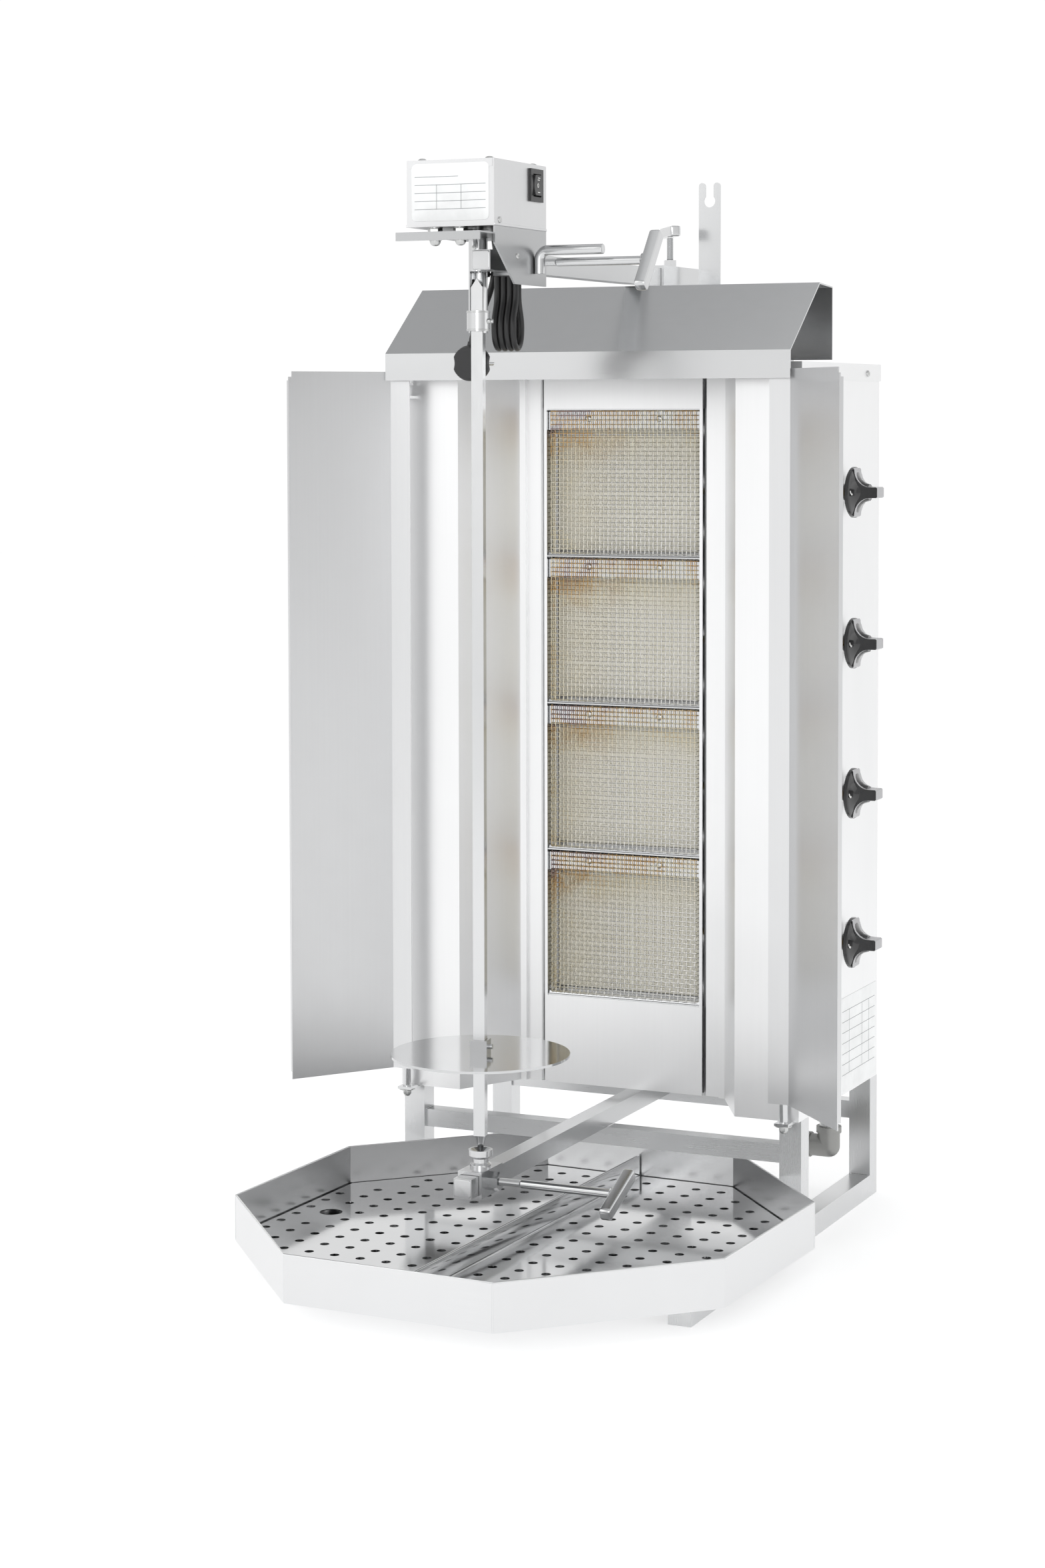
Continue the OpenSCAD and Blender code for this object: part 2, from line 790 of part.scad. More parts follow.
// Round mains plug, pins to the rear.
module plug()
  color([0.05, 0.05, 0.05]) {
    difference() {
      rod_y([plug_x, -247, plug_z], 37, 24);
      for (s = [-1, 1])
        slab([plug_x + s * 18.5 - 2, -229, plug_z - 3], [plug_x + s * 18.5 + 2, -222, plug_z + 3]);
    }
    for (s = [-1, 1])
      rod_y([plug_x + s * 9.5, -223, plug_z], 4.8, 19);
  }

// ---------- lower carriage ----------

module lower_carriage()
  color(bright)
    difference() {
      union() {
        slab([-13.4, lc_front, arm_z + arm_tube / 2 - 13.4], [13.4, lc_back, arm_z + arm_tube / 2 + 13.4]);
        hex_x([13.4, sy, arm_z + arm_tube / 2], 17, 9);
      }
      slab([-arm_tube / 2 - fit, lc_front - 1, arm_z - fit],
           [arm_tube / 2 + fit, lc_back + 1, arm_z + arm_tube + fit]);
      rod_x([0, sy, arm_z + arm_tube / 2], 8.6, 30);
    }

// Turned cup with a conical seat for the spit's point.
module cup_bearing()
  color(bright)
    translate([0, sy, arm_z + arm_tube / 2 + 13.4])
      rotate_extrude($fn = 48)
        polygon([[0, 0], [11, 0], [11, 3], [8.5, 5], [8.5, 9], [12.5, 12], [12.5, 18],
                 [10.5, 18], [1.5, 13], [0, 13]]);

module lower_clamp()
  color(bright)
    translate([arm_tube / 2 + 0.2, sy, arm_z + arm_tube / 2])
      clamp_screw(136, -67);

// ---------- spit ----------

// Square bar, pointed at the top, coned at the foot.
module spit()
  color([0.85, 0.85, 0.86])
    translate([0, sy, 0])
      rotate([0, 0, spit_turn])
        union() {
          slab([-spit_bar / 2, -spit_bar / 2, 165], [spit_bar / 2, spit_bar / 2, spit_top - 9]);
          translate([0, 0, spit_top - 9])
            rotate([90, 0, 0])
              linear_extrude(height = spit_bar, center = true)
                polygon([[-spit_bar / 2, 0], [spit_bar / 2, 0], [0, 9]]);
          translate([0, 0, 145.8])
            rotate_extrude($fn = 40)
              polygon([[0, 0], [1.2, 0], [spit_bar / 2, 19.2], [0, 19.2]]);
        }

// Round plate with a square hub and a grub screw.
module meat_plate()
  color([0.78, 0.78, 0.79])
    translate([0, sy, disc_z])
      rotate([0, 0, spit_turn])
        difference() {
          union() {
            rod_z([0, 0, -2.5], disc_d, 2.5);
            slab([-9, -9, 0], [9, 9, 14]);
            rod_x([8, 0, 7], 5, 5);
          }
          slab([-spit_bar / 2 - fit, -spit_bar / 2 - fit, -4], [spit_bar / 2 + fit, spit_bar / 2 + fit, 15]);
        }

// ---------- drip tray ----------

// Octagon outline, shrunk by d along both half sizes.
module oct(d)
  polygon([[-tray_half_w + tray_cut_x, -tray_half_l + d], [tray_half_w - tray_cut_x, -tray_half_l + d],
           [tray_half_w - d, -tray_half_l + tray_cut_y], [tray_half_w - d, tray_half_l - tray_cut_y],
           [tray_half_w - tray_cut_x, tray_half_l - d], [-tray_half_w + tray_cut_x, tray_half_l - d],
           [-tray_half_w + d, tray_half_l - tray_cut_y], [-tray_half_w + d, -tray_half_l + tray_cut_y]]);

module at_tray()
  translate([0, -tray_reach, tube])
    rotate([0, 0, tray_turn])
      children();

module drip_tray()
  color(bright)
    at_tray()
      difference() {
        linear_extrude(height = tray_h)
          oct(0);
        translate([0, 0, sheet])
          linear_extrude(height = tray_h)
            oct(sheet * 1.6);
      }

// Half of the perforated floor with its upturned middle edge.
module grid_half() {
  translate([0, 0, 7])
    linear_extrude(height = 1.2)
      difference() {
        intersection() {
          oct(5);
          translate([0.6, -400])
            square([400, 800]);
        }
        for (x = [22.7:drain_pitch_x:260])
          for (y = [11 - 4 * drain_pitch_y:drain_pitch_y:260])
            if (abs(x) / tray_half_w + abs(y) / tray_half_l < 1.30)
              translate([x, y])
                circle(d = 10, $fn = 8);
        translate([235, 0])
          circle(d = 25, $fn = 24);
      }
  slab([0.6, -tray_half_l + 5, 7], [1.8, tray_half_l - 5, 32]);
  for (y = [-180, 0, 180])
    slab([40, y - 1, 1.6], [200, y + 1, 7]);
}

module grid_right()
  color(bright)
    at_tray()
      grid_half();

module grid_left()
  color(bright)
    at_tray()
      mirror([1, 0, 0])
        grid_half();

side_frame_left();
side_frame_right();
cross_ties();
lower_arm();
back_panel();
side_panel_left();
side_panel_right();
top_cover();
base_pan();
niche_left();
niche_right();
burner_plate();
hood();
hanger_plate();
burner_housings();
plaques_1();
plaques_2();
plaques_3();
plaques_4();
mesh_1();
mesh_2();
mesh_3();
mesh_4();
gas_rail();
supply_elbow();
gas_valves();
stem_1();
stem_2();
stem_3();
stem_4();
knob_1();
knob_2();
knob_3();
knob_4();
wing_hinges();
wing_left();
wing_right();
arm_socket();
upper_arm();
socket_clamp();
motor_bracket();
pull_handle();
upper_clamp();
motor_case();
gearmotor();
switch_bezel();
rocker();
drive_tube();
lock_collar();
power_cord();
cord_hank();
plug();
lower_carriage();
cup_bearing();
lower_clamp();
spit();
meat_plate();
drip_tray();
grid_left();
grid_right();
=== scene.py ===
import bpy, bmesh, json, math
from mathutils import Matrix, Vector

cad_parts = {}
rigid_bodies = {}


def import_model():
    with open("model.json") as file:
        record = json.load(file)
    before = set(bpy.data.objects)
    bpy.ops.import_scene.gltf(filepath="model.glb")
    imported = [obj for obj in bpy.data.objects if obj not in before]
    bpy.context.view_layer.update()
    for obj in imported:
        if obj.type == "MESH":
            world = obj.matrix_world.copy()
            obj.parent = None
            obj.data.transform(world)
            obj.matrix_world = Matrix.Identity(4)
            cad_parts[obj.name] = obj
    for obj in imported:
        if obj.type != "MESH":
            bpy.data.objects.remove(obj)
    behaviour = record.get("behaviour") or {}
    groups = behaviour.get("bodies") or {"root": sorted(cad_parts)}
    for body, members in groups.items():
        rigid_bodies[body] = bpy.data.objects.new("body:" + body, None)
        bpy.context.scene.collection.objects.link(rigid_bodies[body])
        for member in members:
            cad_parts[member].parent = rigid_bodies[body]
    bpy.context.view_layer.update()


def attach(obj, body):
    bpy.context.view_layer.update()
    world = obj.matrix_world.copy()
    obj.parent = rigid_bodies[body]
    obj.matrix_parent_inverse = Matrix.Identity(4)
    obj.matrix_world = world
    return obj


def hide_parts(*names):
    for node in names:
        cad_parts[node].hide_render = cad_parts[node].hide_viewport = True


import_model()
C = bpy.context
OBJ = bpy.data.objects
MM = 0.001

# Places and sizes of the CAD that the pieces below share, in millimetres.
PITCH, TOP = 167.5, 908.0  # burner spacing, and the top of the upper burner
SPIT_Y = -303  # axis of the spit
SIDE_X = 240  # outer face of the side panels
CASE_X, CASE_FRONT, CASE_BACK, CASE_LOW, CASE_TOP = 48, -367, -242, 1088, 1154  # motor case
ARM_X = 21  # centre plane of the upper arm, beside the spit
HEAD_Z, FOOT_Z = 1056, 119  # centre heights of the upper arm and of the lower arm
KNOB_Y, KNOB_Z = 135, 815  # axis of the knobs, and the height of the top one
HINGE_X, HINGE_Y = 227, -20  # pins of the wings
BACK_Y, COVER_Z = 262, 958  # rear face and top of the cabinet
FRAME_X, TUBE = 215, 25  # inner face of a side frame, and its square tube

# ---------------------------------------------------------------- camera
# Stands to the right in front, a little above the middle; the angles and the lens set the framing.
az, el, roll = math.radians(24.62), math.radians(3.03), math.radians(-0.12)
fwd = Vector((-math.sin(az) * math.cos(el), math.cos(az) * math.cos(el), -math.sin(el)))
right = fwd.cross(Vector((0, 0, 1))).normalized()
up = right.cross(fwd)
r2 = right * math.cos(roll) + up * math.sin(roll)
u2 = up * math.cos(roll) - right * math.sin(roll)
cam_data = bpy.data.cameras.new("camera")
cam_data.sensor_width = 36
cam_data.lens = 71.0
cam_data.shift_y = -0.1313
cam_data.clip_start, cam_data.clip_end = 0.05, 60
cam = OBJ.new("camera", cam_data)
C.collection.objects.link(cam)
turn = Matrix((r2, u2, -fwd)).transposed().to_4x4()
cam.matrix_world = Matrix.Translation((1.34545, -3.13296, 0.90195)) @ turn
C.scene.camera = cam


# ---------------------------------------------------------------- materials
class Tree:
    """Small helper round a material's nodes."""

    def __init__(self, name):
        self.mat = bpy.data.materials.new(name)
        self.mat.use_nodes = True
        self.n = self.mat.node_tree.nodes
        self.l = self.mat.node_tree.links
        self.b = self.n["Principled BSDF"]
        self.co = self.n.new("ShaderNodeTexCoord").outputs["Object"]

    def put(self, **values):
        for key, value in values.items():
            name = key.replace("_", " ")
            self.b.inputs[name].default_value = value
        return self

    def noise(self, scale, detail=2.0, stretch=(1, 1, 1), rough=0.5, distort=0.0):
        m = self.n.new("ShaderNodeMapping")
        m.inputs["Scale"].default_value = stretch
        self.l.new(self.co, m.inputs["Vector"])
        t = self.n.new("ShaderNodeTexNoise")
        t.inputs["Scale"].default_value = scale
        t.inputs["Detail"].default_value = detail
        t.inputs["Roughness"].default_value = rough
        t.inputs["Distortion"].default_value = distort
        self.l.new(m.outputs["Vector"], t.inputs["Vector"])
        return t.outputs["Fac"]

    def span(self, value, a, b, lo, hi):
        """Maps value from a..b to lo..hi, clamped."""
        r = self.n.new("ShaderNodeMapRange")
        for k, x in zip(("From Min", "From Max", "To Min", "To Max"), (a, b, lo, hi)):
            r.inputs[k].default_value = x
        self.l.new(value, r.inputs["Value"])
        return r.outputs["Result"]

    def math(self, op, a, b):
        m = self.n.new("ShaderNodeMath")
        m.operation = op
        for k, x in enumerate((a, b)):
            if isinstance(x, (int, float)):
                m.inputs[k].default_value = x
            else:
                self.l.new(x, m.inputs[k])
        return m.outputs[0]

    def ramp(self, value, stops):
        r = self.n.new("ShaderNodeValToRGB")
        e = r.color_ramp.elements
        while len(e) < len(stops):
            e.new(0.5)
        for k, (at, col) in enumerate(stops):
            e[k].position = at
            e[k].color = (*col, 1)
        self.l.new(value, r.inputs["Fac"])
        return r.outputs["Color"]

    def mix(self, fac, a, b, blend="MIX"):
        m = self.n.new("ShaderNodeMix")
        m.data_type = "RGBA"
        m.blend_type = blend
        if isinstance(fac, (int, float)):
            m.inputs[0].default_value = fac
        else:
            self.l.new(fac, m.inputs[0])
        for k, x in ((6, a), (7, b)):
            if isinstance(x, tuple):
                m.inputs[k].default_value = (*x, 1)
            else:
                self.l.new(x, m.inputs[k])
        return m.outputs[2]

    def place(self, axis):
        s = self.n.new("ShaderNodeSeparateXYZ")
        self.l.new(self.co, s.inputs[0])
        return s.outputs[axis]

    def color(self, out):
        self.l.new(out, self.b.inputs["Base Color"])
        return self

    def rough(self, out):
        self.l.new(out, self.b.inputs["Roughness"])
        return self

    def bump(self, *layers):
        """Layers of (height, strength, distance in metres)."""
        last = None
        for height, strength, distance in layers:
            b = self.n.new("ShaderNodeBump")
            b.inputs["Strength"].default_value = strength
            b.inputs["Distance"].default_value = distance
            self.l.new(height, b.inputs["Height"])
            if last:
                self.l.new(last, b.inputs["Normal"])
            last = b.outputs["Normal"]
        self.l.new(last, self.b.inputs["Normal"])
        return self


GRAIN = {
    "x": (0.012, 1, 1),
    "y": (1, 0.012, 1),
    "z": (1, 1, 0.012),
    "none": (1, 1, 1),
}


def steel(name, col, rough, along="z", grain=0.12, size=2600, stain=0.012, wave=0.0):
    """Stainless sheet or tube: grain lines along one axis, handling marks, faint unevenness."""
    t = Tree(name).put(Metallic=1.0)
    g = t.noise(size, 3, GRAIN[along], 0.6)
    g2 = t.noise(size / 6, 2, GRAIN[along], 0.5)
    marks = t.noise(7, 3, (1, 1, 0.6), 0.55, 0.3)
    spots = t.noise(60, 2, (1, 1, 1), 0.6)
    dark = tuple(c * (1 - 2.2 * stain) for c in col)
    base = t.mix(t.span(marks, 0.3, 0.75, 0, 1), dark, col)
    base = t.mix(t.span(g2, 0.3, 0.7, 0.0, 0.06), base, tuple(c * 0.8 for c in col))
    t.color(base)
    r = t.math("ADD", t.span(marks, 0.25, 0.75, rough * 1.06, rough * 0.95),
               t.span(spots, 0.4, 0.75, 0.0, 0.012))
    t.rough(t.math("ADD", r, t.span(g, 0.3, 0.7, -0.015, 0.02)))
    layers = [(g, grain * 0.6, 0.00004), (g2, grain * 0.35, 0.0001)]
    if wave:
        layers.append((t.noise(4.5, 1, (1, 1, 0.35)), wave, 0.004))
    t.bump(*layers)
    return t.mat


def plain(name, col, rough, metal=0.0, pebble=0.0, size=900, coat=0.0, vary=0.12):
    """Moulded, painted or cast finish with its own fine texture and wear."""
    t = Tree(name).put(Metallic=metal)
    if coat:
        t.put(Coat_Weight=coat, Coat_Roughness=0.08)
    n = t.noise(size, 3)
    big = t.noise(38, 3, (1, 1, 1), 0.6)
    worn = tuple(min(1, c * (1 + vary) + 0.004) for c in col)
    t.color(t.mix(t.span(big, 0.3, 0.7, 0, 1), col, worn))
    t.rough(t.math("ADD", t.span(big, 0.3, 0.7, rough * 0.85, rough * 1.12),
                   t.span(n, 0.3, 0.7, -0.02, 0.03)))
    t.bump((n, max(pebble, 0.02), 0.0002), (big, 0.03, 0.0006))
    return t.mat


M = {
    "frame_x": steel("frame_tube_x", (0.66, 0.665, 0.67), 0.28, "x", 0.005),
    # The tubes along Y, the upper and lower arms, are toned darker than the other frame tubes:
    # painted shade for their shadowed sides.
    "frame_y_painted_shade": steel("frame_tube_y_painted_shade", (0.56, 0.565, 0.57), 0.24, "y", 0.005),
    "frame_z": steel("frame_tube_z", (0.68, 0.685, 0.69), 0.28, "z", 0.005),
    "panel": steel("satin_panel", (0.88, 0.882, 0.885), 0.34, "z", 0.12, wave=0.01),
    "panel_x": steel("satin_panel_x", (0.86, 0.862, 0.865), 0.34, "x", 0.12),
    "wing": steel("satin_wing", (0.72, 0.723, 0.728), 0.30, "z", 0.12, wave=0.03),
    "hood": steel("satin_hood", (0.66, 0.665, 0.67), 0.22, "x", 0.10, wave=0.02),
    "bright": steel("bright_steel", (0.66, 0.665, 0.67), 0.17, "z", 0.06),
    "bright_x": steel("bright_steel_x", (0.64, 0.645, 0.65), 0.19, "x", 0.06),
    "bright_y": steel("bright_steel_y", (0.62, 0.625, 0.63), 0.18, "y", 0.06),
    "case": steel("motor_case_sheet", (0.68, 0.683, 0.688), 0.32, "z", 0.1),
    "bracket": steel("bracket_sheet", (0.47, 0.475, 0.48), 0.3, "x", 0.05),
    "tray": steel("tray_wall", (0.78, 0.783, 0.788), 0.24, "x", 0.08, wave=0.02),
    "mirror": steel("tray_grid", (0.62, 0.625, 0.63), 0.09, "x", 0.03, stain=0.03, wave=0.03),
    "chrome": steel("drive_chrome", (0.72, 0.725, 0.73), 0.10, "z", 0.03),
    "zinc": plain("zinc_screws", (0.55, 0.555, 0.55), 0.3, 1.0, 0.05),
    "iron": plain("cast_iron", (0.34, 0.34, 0.33), 0.5, 0.85, 0.5, 500),
    "brass": plain("turned_brass", (0.60, 0.44, 0.2), 0.28, 1.0, 0.05),
    "knob": plain("knob_black", (0.012, 0.012, 0.013), 0.16, 0, 0.03, 1200, coat=0.6),
    "grip": plain("knob_edge", (0.42, 0.42, 0.43), 0.3, 0.7, 0.05),
    "dot": plain("mark_white", (0.85, 0.85, 0.83), 0.4),
    "switch": plain("switch_black", (0.016, 0.016, 0.017), 0.3, 0, 0.1, 1500),
    "motor": plain("motor_paint", (0.1, 0.105, 0.11), 0.45, 0, 0.3),
    "cord": plain("cord_black", (0.014, 0.014, 0.0145), 0.42, 0, 0.12, 1500),
    "plug": plain("plug_black", (0.018, 0.018, 0.019), 0.5, 0, 0.35, 1400),
    "strap": plain("strap_black", (0.012, 0.012, 0.012), 0.8, 0, 0.6, 2200),
    "label": plain("label_white", (0.86, 0.87, 0.87), 0.35, 0, 0.02),
    "print": plain("label_grey", (0.30, 0.31, 0.32), 0.5),
    "cement": plain("seam_cement", (0.92, 0.89, 0.78), 0.8, 0, 0.4, 1100),
}


def down_burner(t, top):
    """Fraction of the way down one burner's pitch, from the height top in millimetres."""
    drop = t.math("SUBTRACT", top * MM, t.place(2))
    return t.math("FRACT", t.math("DIVIDE", drop, PITCH * MM), 0)


def ceramic():
    """Cordierite plaque: cream, scorched brown at the upper corner of each burner."""
    t = Tree("plaque_ceramic").put(Specular_IOR_Level=0.25)
    fine = t.noise(1400, 4, rough=0.7)
    patch = t.noise(26, 4, rough=0.6, distort=0.8)
    z = down_burner(t, TOP)
    top = t.span(z, 0.18, 0.52, 1, 0)
    left = t.span(t.place(0), -0.085, 0.03, 1, 0.05)
    heat = t.math("MULTIPLY", t.math("MULTIPLY", top, left), t.span(patch, 0.36, 0.62, 0.05, 1))
    body = t.mix(t.span(patch, 0.3, 0.7, 0, 1), (0.93, 0.90, 0.79), (0.97, 0.95, 0.88))
    body = t.mix(t.span(fine, 0.3, 0.7, 0, 0.35), body, (0.80, 0.76, 0.62))
    t.color(t.mix(t.span(heat, 0.12, 0.75, 0, 0.7), body, (0.62, 0.42, 0.18)))
    t.rough(t.span(fine, 0.3, 0.7, 0.8, 0.95))
    t.bump((fine, 0.3, 0.0003))
    return t.mat


def guard():
    """Heat tinted wire: bright below, straw, brown and violet towards each top edge."""
    t = Tree("guard_wire").put(Metallic=1.0)
    patch = t.noise(34, 4, rough=0.65, distort=0.7)
    z = down_burner(t, TOP - 0.5)
    top = t.math("ADD", t.span(z, 0.02, 0.38, 0.5, 0), t.span(t.place(0), -0.09, -0.01, 0.3, 0))
    heat = t.math("MULTIPLY", top, t.span(patch, 0.3, 0.62, 0.3, 1.15))
    col = t.ramp(heat, [(0.0, (0.76, 0.75, 0.72)), (0.26, (0.74, 0.68, 0.52)),
                        (0.46, (0.60, 0.40, 0.18)), (0.66, (0.36, 0.25, 0.22)),
                        (0.9, (0.33, 0.31, 0.35))])
    t.color(col)
    fine = t.noise(900, 3)
    t.rough(t.span(fine, 0.3, 0.7, 0.26, 0.42))
    t.bump((fine, 0.08, 0.0002))
    return t.mat


M["ceramic"] = ceramic()
M["guard"] = guard()


# ---------------------------------------------------------------- mesh code
AX = {
    "x": Matrix(((0, 0, 1), (1, 0, 0), (0, 1, 0))),
    "y": Matrix(((1, 0, 0), (0, 0, 1), (0, 1, 0))),
    "z": Matrix.Identity(3),
}


def smooth_path(points, step=2.5, closed=False):
    """Points of an even curve through the given ones (centripetal Catmull-Rom)."""
    p = [Vector(q) for q in points]
    n = len(p)
    out = []
    for i in range(n if closed else n - 1):
        if closed:
            a, b, c, d = (p[(i + k) % n] for k in (-1, 0, 1, 2))
        else:
            b, c = p[i], p[i + 1]
            a = p[i - 1] if i else b * 2 - c
            d = p[i + 2] if i + 2 < n else c * 2 - b
        t1 = max((b - a).length, 1e-6) ** 0.5
        t2 = t1 + max((c - b).length, 1e-6) ** 0.5
        t3 = t2 + max((d - c).length, 1e-6) ** 0.5
        count = max(1, round((c - b).length / step))
        for k in range(count):
            t = t1 + (t2 - t1) * k / count
            a1 = a * ((t1 - t) / t1) + b * (t / t1)
            a2 = b * ((t2 - t) / (t2 - t1)) + c * ((t - t1) / (t2 - t1))
            a3 = c * ((t3 - t) / (t3 - t2)) + d * ((t - t2) / (t3 - t2))
            b1 = a1 * ((t2 - t) / t2) + a2 * (t / t2)
            b2 = a2 * ((t3 - t) / (t3 - t1)) + a3 * ((t - t1) / (t3 - t1))
            out.append(b1 * ((t2 - t) / (t2 - t1)) + b2 * ((t - t1) / (t2 - t1)))
    if not closed:
        out.append(p[-1])
    return out


def edges_of(verts):
    """The edges at the given vertices, each once, in the order met."""
    return list(dict.fromkeys(e for v in verts for e in v.link_edges))


class Shape:
    """A mesh being built, in millimetres."""

    def __init__(self):
        self.bm = bmesh.new()

    def move(self, verts, matrix):
        bmesh.ops.transform(self.bm, matrix=matrix, verts=verts)
        return verts

    def box(self, lo, hi, r=0.5, seg=2):
        vs = bmesh.ops.create_cube(self.bm, size=1)["verts"]
        for v in vs:
            v.co = Vector([lo[k] + (v.co[k] + 0.5) * (hi[k] - lo[k]) for k in range(3)])
        if r:
            edges = edges_of(vs)
            vs = bmesh.ops.bevel(self.bm, geom=edges, offset=r, segments=seg, profile=0.5,
                                 affect="EDGES", clamp_overlap=True)["verts"]
        return vs

    def prism(self, poly, axis, a, b, r=0.0, seg=2, holes=()):
        """Outline in the plane across axis, from a to b along it."""
        m = AX[axis]
        loops = []
        for pts in (poly, *holes):
            loops.append([self.bm.verts.new(m @ Vector((u, v, a))) for u, v in pts])
        edges = []
        for ring in loops:
            edges += [self.bm.edges.new((ring[k - 1], ring[k])) for k in range(len(ring))]
        if holes:
            made = bmesh.ops.triangle_fill(self.bm, edges=edges, use_beauty=True)["geom"]
            faces = [g for g in made if isinstance(g, bmesh.types.BMFace)]
        else:
            faces = [self.bm.faces.new(loops[0])]
        out = bmesh.ops.extrude_face_region(self.bm, geom=faces)["geom"]
        top = [g for g in out if isinstance(g, bmesh.types.BMVert)]
        shift = m @ Vector((0, 0, b - a))
        for v in top:
            v.co += shift
        vs = [v for ring in loops for v in ring] + top
        if r:
            rim = [e for e in edges_of(vs)
                   if len(e.link_faces) == 2 and e.calc_face_angle(0) > 0.5]
            out = bmesh.ops.bevel(self.bm, geom=rim, offset=r, segments=seg, profile=0.5,
                                  affect="EDGES", clamp_overlap=True)
            vs = list(dict.fromkeys([v for v in vs if v.is_valid] + list(out["verts"])))
        return vs

    def lathe(self, profile, at=(0, 0, 0), axis="z", seg=40, phase=0.0):
        """Profile of (radius, height) turned round axis."""
        m = AX[axis]
        at = Vector(at)
        rings = []
        for rad, h in profile:
            if rad < 1e-6:
                rings.append([self.bm.verts.new(at + m @ Vector((0, 0, h)))])
            else:
                rings.append([self.bm.verts.new(at + m @ Vector((
                    rad * math.cos(phase + math.tau * k / seg),
                    rad * math.sin(phase + math.tau * k / seg), h))) for k in range(seg)])
        for low, high in zip(rings, rings[1:]):
            for k in range(seg):
                j = (k + 1) % seg
                quad = [low[k % len(low)], low[j % len(low)],
                        high[j % len(high)], high[k % len(high)]]
                quad = list(dict.fromkeys(quad))
                if len(quad) > 2:
                    self.bm.faces.new(quad)
        for ring in (rings[0], rings[-1]):
            if len(ring) > 2:
                self.bm.faces.new(ring)
        return [v for ring in rings for v in ring]

    def rod(self, at, axis, d, length, c=0.5, seg=32, phase=0.0):
        r = d / 2
        return self.lathe([(0, 0), (r - c, 0), (r - 0.3 * c, 0.3 * c), (r, c), (r, length - c),
                           (r - 0.3 * c, length - 0.3 * c), (r - c, length), (0, length)],
                          at, axis, seg, phase)

    def hexagon(self, at, axis, af, length, phase=0.0):
        r = af / math.sqrt(3)
        return self.lathe([(0, 0), (r * 0.93, 0), (r, 0.7), (r, length - 0.7), (r * 0.93, length),
                           (0, length)], at, axis, 6, phase)

    def thread(self, at, axis, d, length, pitch=1.25, seg=24):
        prof = [(0, 0)]
        n = int(length / pitch)
        for k in range(n):
            prof += [(d / 2 - 0.65, k * pitch + 0.1), (d / 2, (k + 0.5) * pitch)]
        prof += [(d / 2 - 0.65, n * pitch), (0, n * pitch)]
        return self.lathe(prof, at, axis, seg)

    def tube(self, points, r, seg=10, closed=False):
        """Round bar along points; r is a number or one for each point."""
        n = len(points)
        p = [Vector(q) for q in points]
        tangents = []
        for i in range(n):
            a = p[i - 1] if (i or closed) else p[i]
            b = p[(i + 1) % n] if (i + 1 < n or closed) else p[i]
            tangents.append((b - a).normalized())
        side = tangents[0].orthogonal().normalized()
        rings = []
        for i in range(n):
            t = tangents[i]
            side = (side - t * side.dot(t)).normalized()
            other = t.cross(side)
            rad = r[i] if isinstance(r, (list, tuple)) else r
            rings.append([self.bm.verts.new(p[i] + side * (rad * math.cos(math.tau * k / seg))
                                            + other * (rad * math.sin(math.tau * k / seg)))
                          for k in range(seg)])
        for i in range(n if closed else n - 1):
            a, b = rings[i], rings[(i + 1) % n]
            off = 0
            if closed and i == n - 1:
                off = min(range(seg), key=lambda o: (b[o].co - a[0].co).length)
            for k in range(seg):
                self.bm.faces.new((a[k], a[(k + 1) % seg],
                                   b[(k + 1 + off) % seg], b[(k + off) % seg]))
        if not closed:
            self.bm.faces.new(rings[0][::-1])
            self.bm.faces.new(rings[-1])
        return [v for ring in rings for v in ring]

    def done(self, name, material, body, slot=None, replaces=(), angle=38, weighted=True):
        bm = self.bm
        bmesh.ops.recalc_face_normals(bm, faces=bm.faces)
        bm.normal_update()
        limit = math.radians(angle)
        for e in bm.edges:
            e.smooth = len(e.link_faces) == 2 and e.calc_face_angle(0) < limit
        for f in bm.faces:
            f.smooth = True
        bmesh.ops.scale(bm, vec=(MM, MM, MM), verts=bm.verts)
        mesh = bpy.data.meshes.new(name)
        bm.to_mesh(mesh)
        bm.free()
        mesh.materials.append(M[material])
        return piece(name, mesh, body, replaces, weighted)


def piece(name, data, body, replaces=(), weighted=False):
    o = OBJ.new(name, data)
    C.collection.objects.link(o)
    if weighted:
        w = o.modifiers.new("normals", "WEIGHTED_NORMAL")
        w.keep_sharp = True
    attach(o, body)
    if replaces:
        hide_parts(*replaces)
    return o


def pan_head(s, at, axis, d, h, away=1, turn=0.4):
    """Cross-recessed dome head standing off a face."""
    r = d / 2
    prof = [(0, 0), (r, 0), (r, 0.25 * h), (r * 0.93, 0.6 * h), (r * 0.7, 0.88 * h),
            (r * 0.4, h), (0, h)]
    vs = s.lathe(prof, (0, 0, 0), "z", 28)
    for k in (0, 1):
        bar = s.box((-r * 0.55, -r * 0.09, h - 0.25), (r * 0.55, r * 0.09, h + 0.05), 0)
        s.move(bar, Matrix.Rotation(turn + k * math.pi / 2, 4, "Z"))
        vs += bar
    m = AX[axis].to_4x4()
    if away < 0:
        m = m @ Matrix.Rotation(math.pi, 4, "X")
    s.move(vs, Matrix.Translation(Vector(at)) @ m)
    return vs


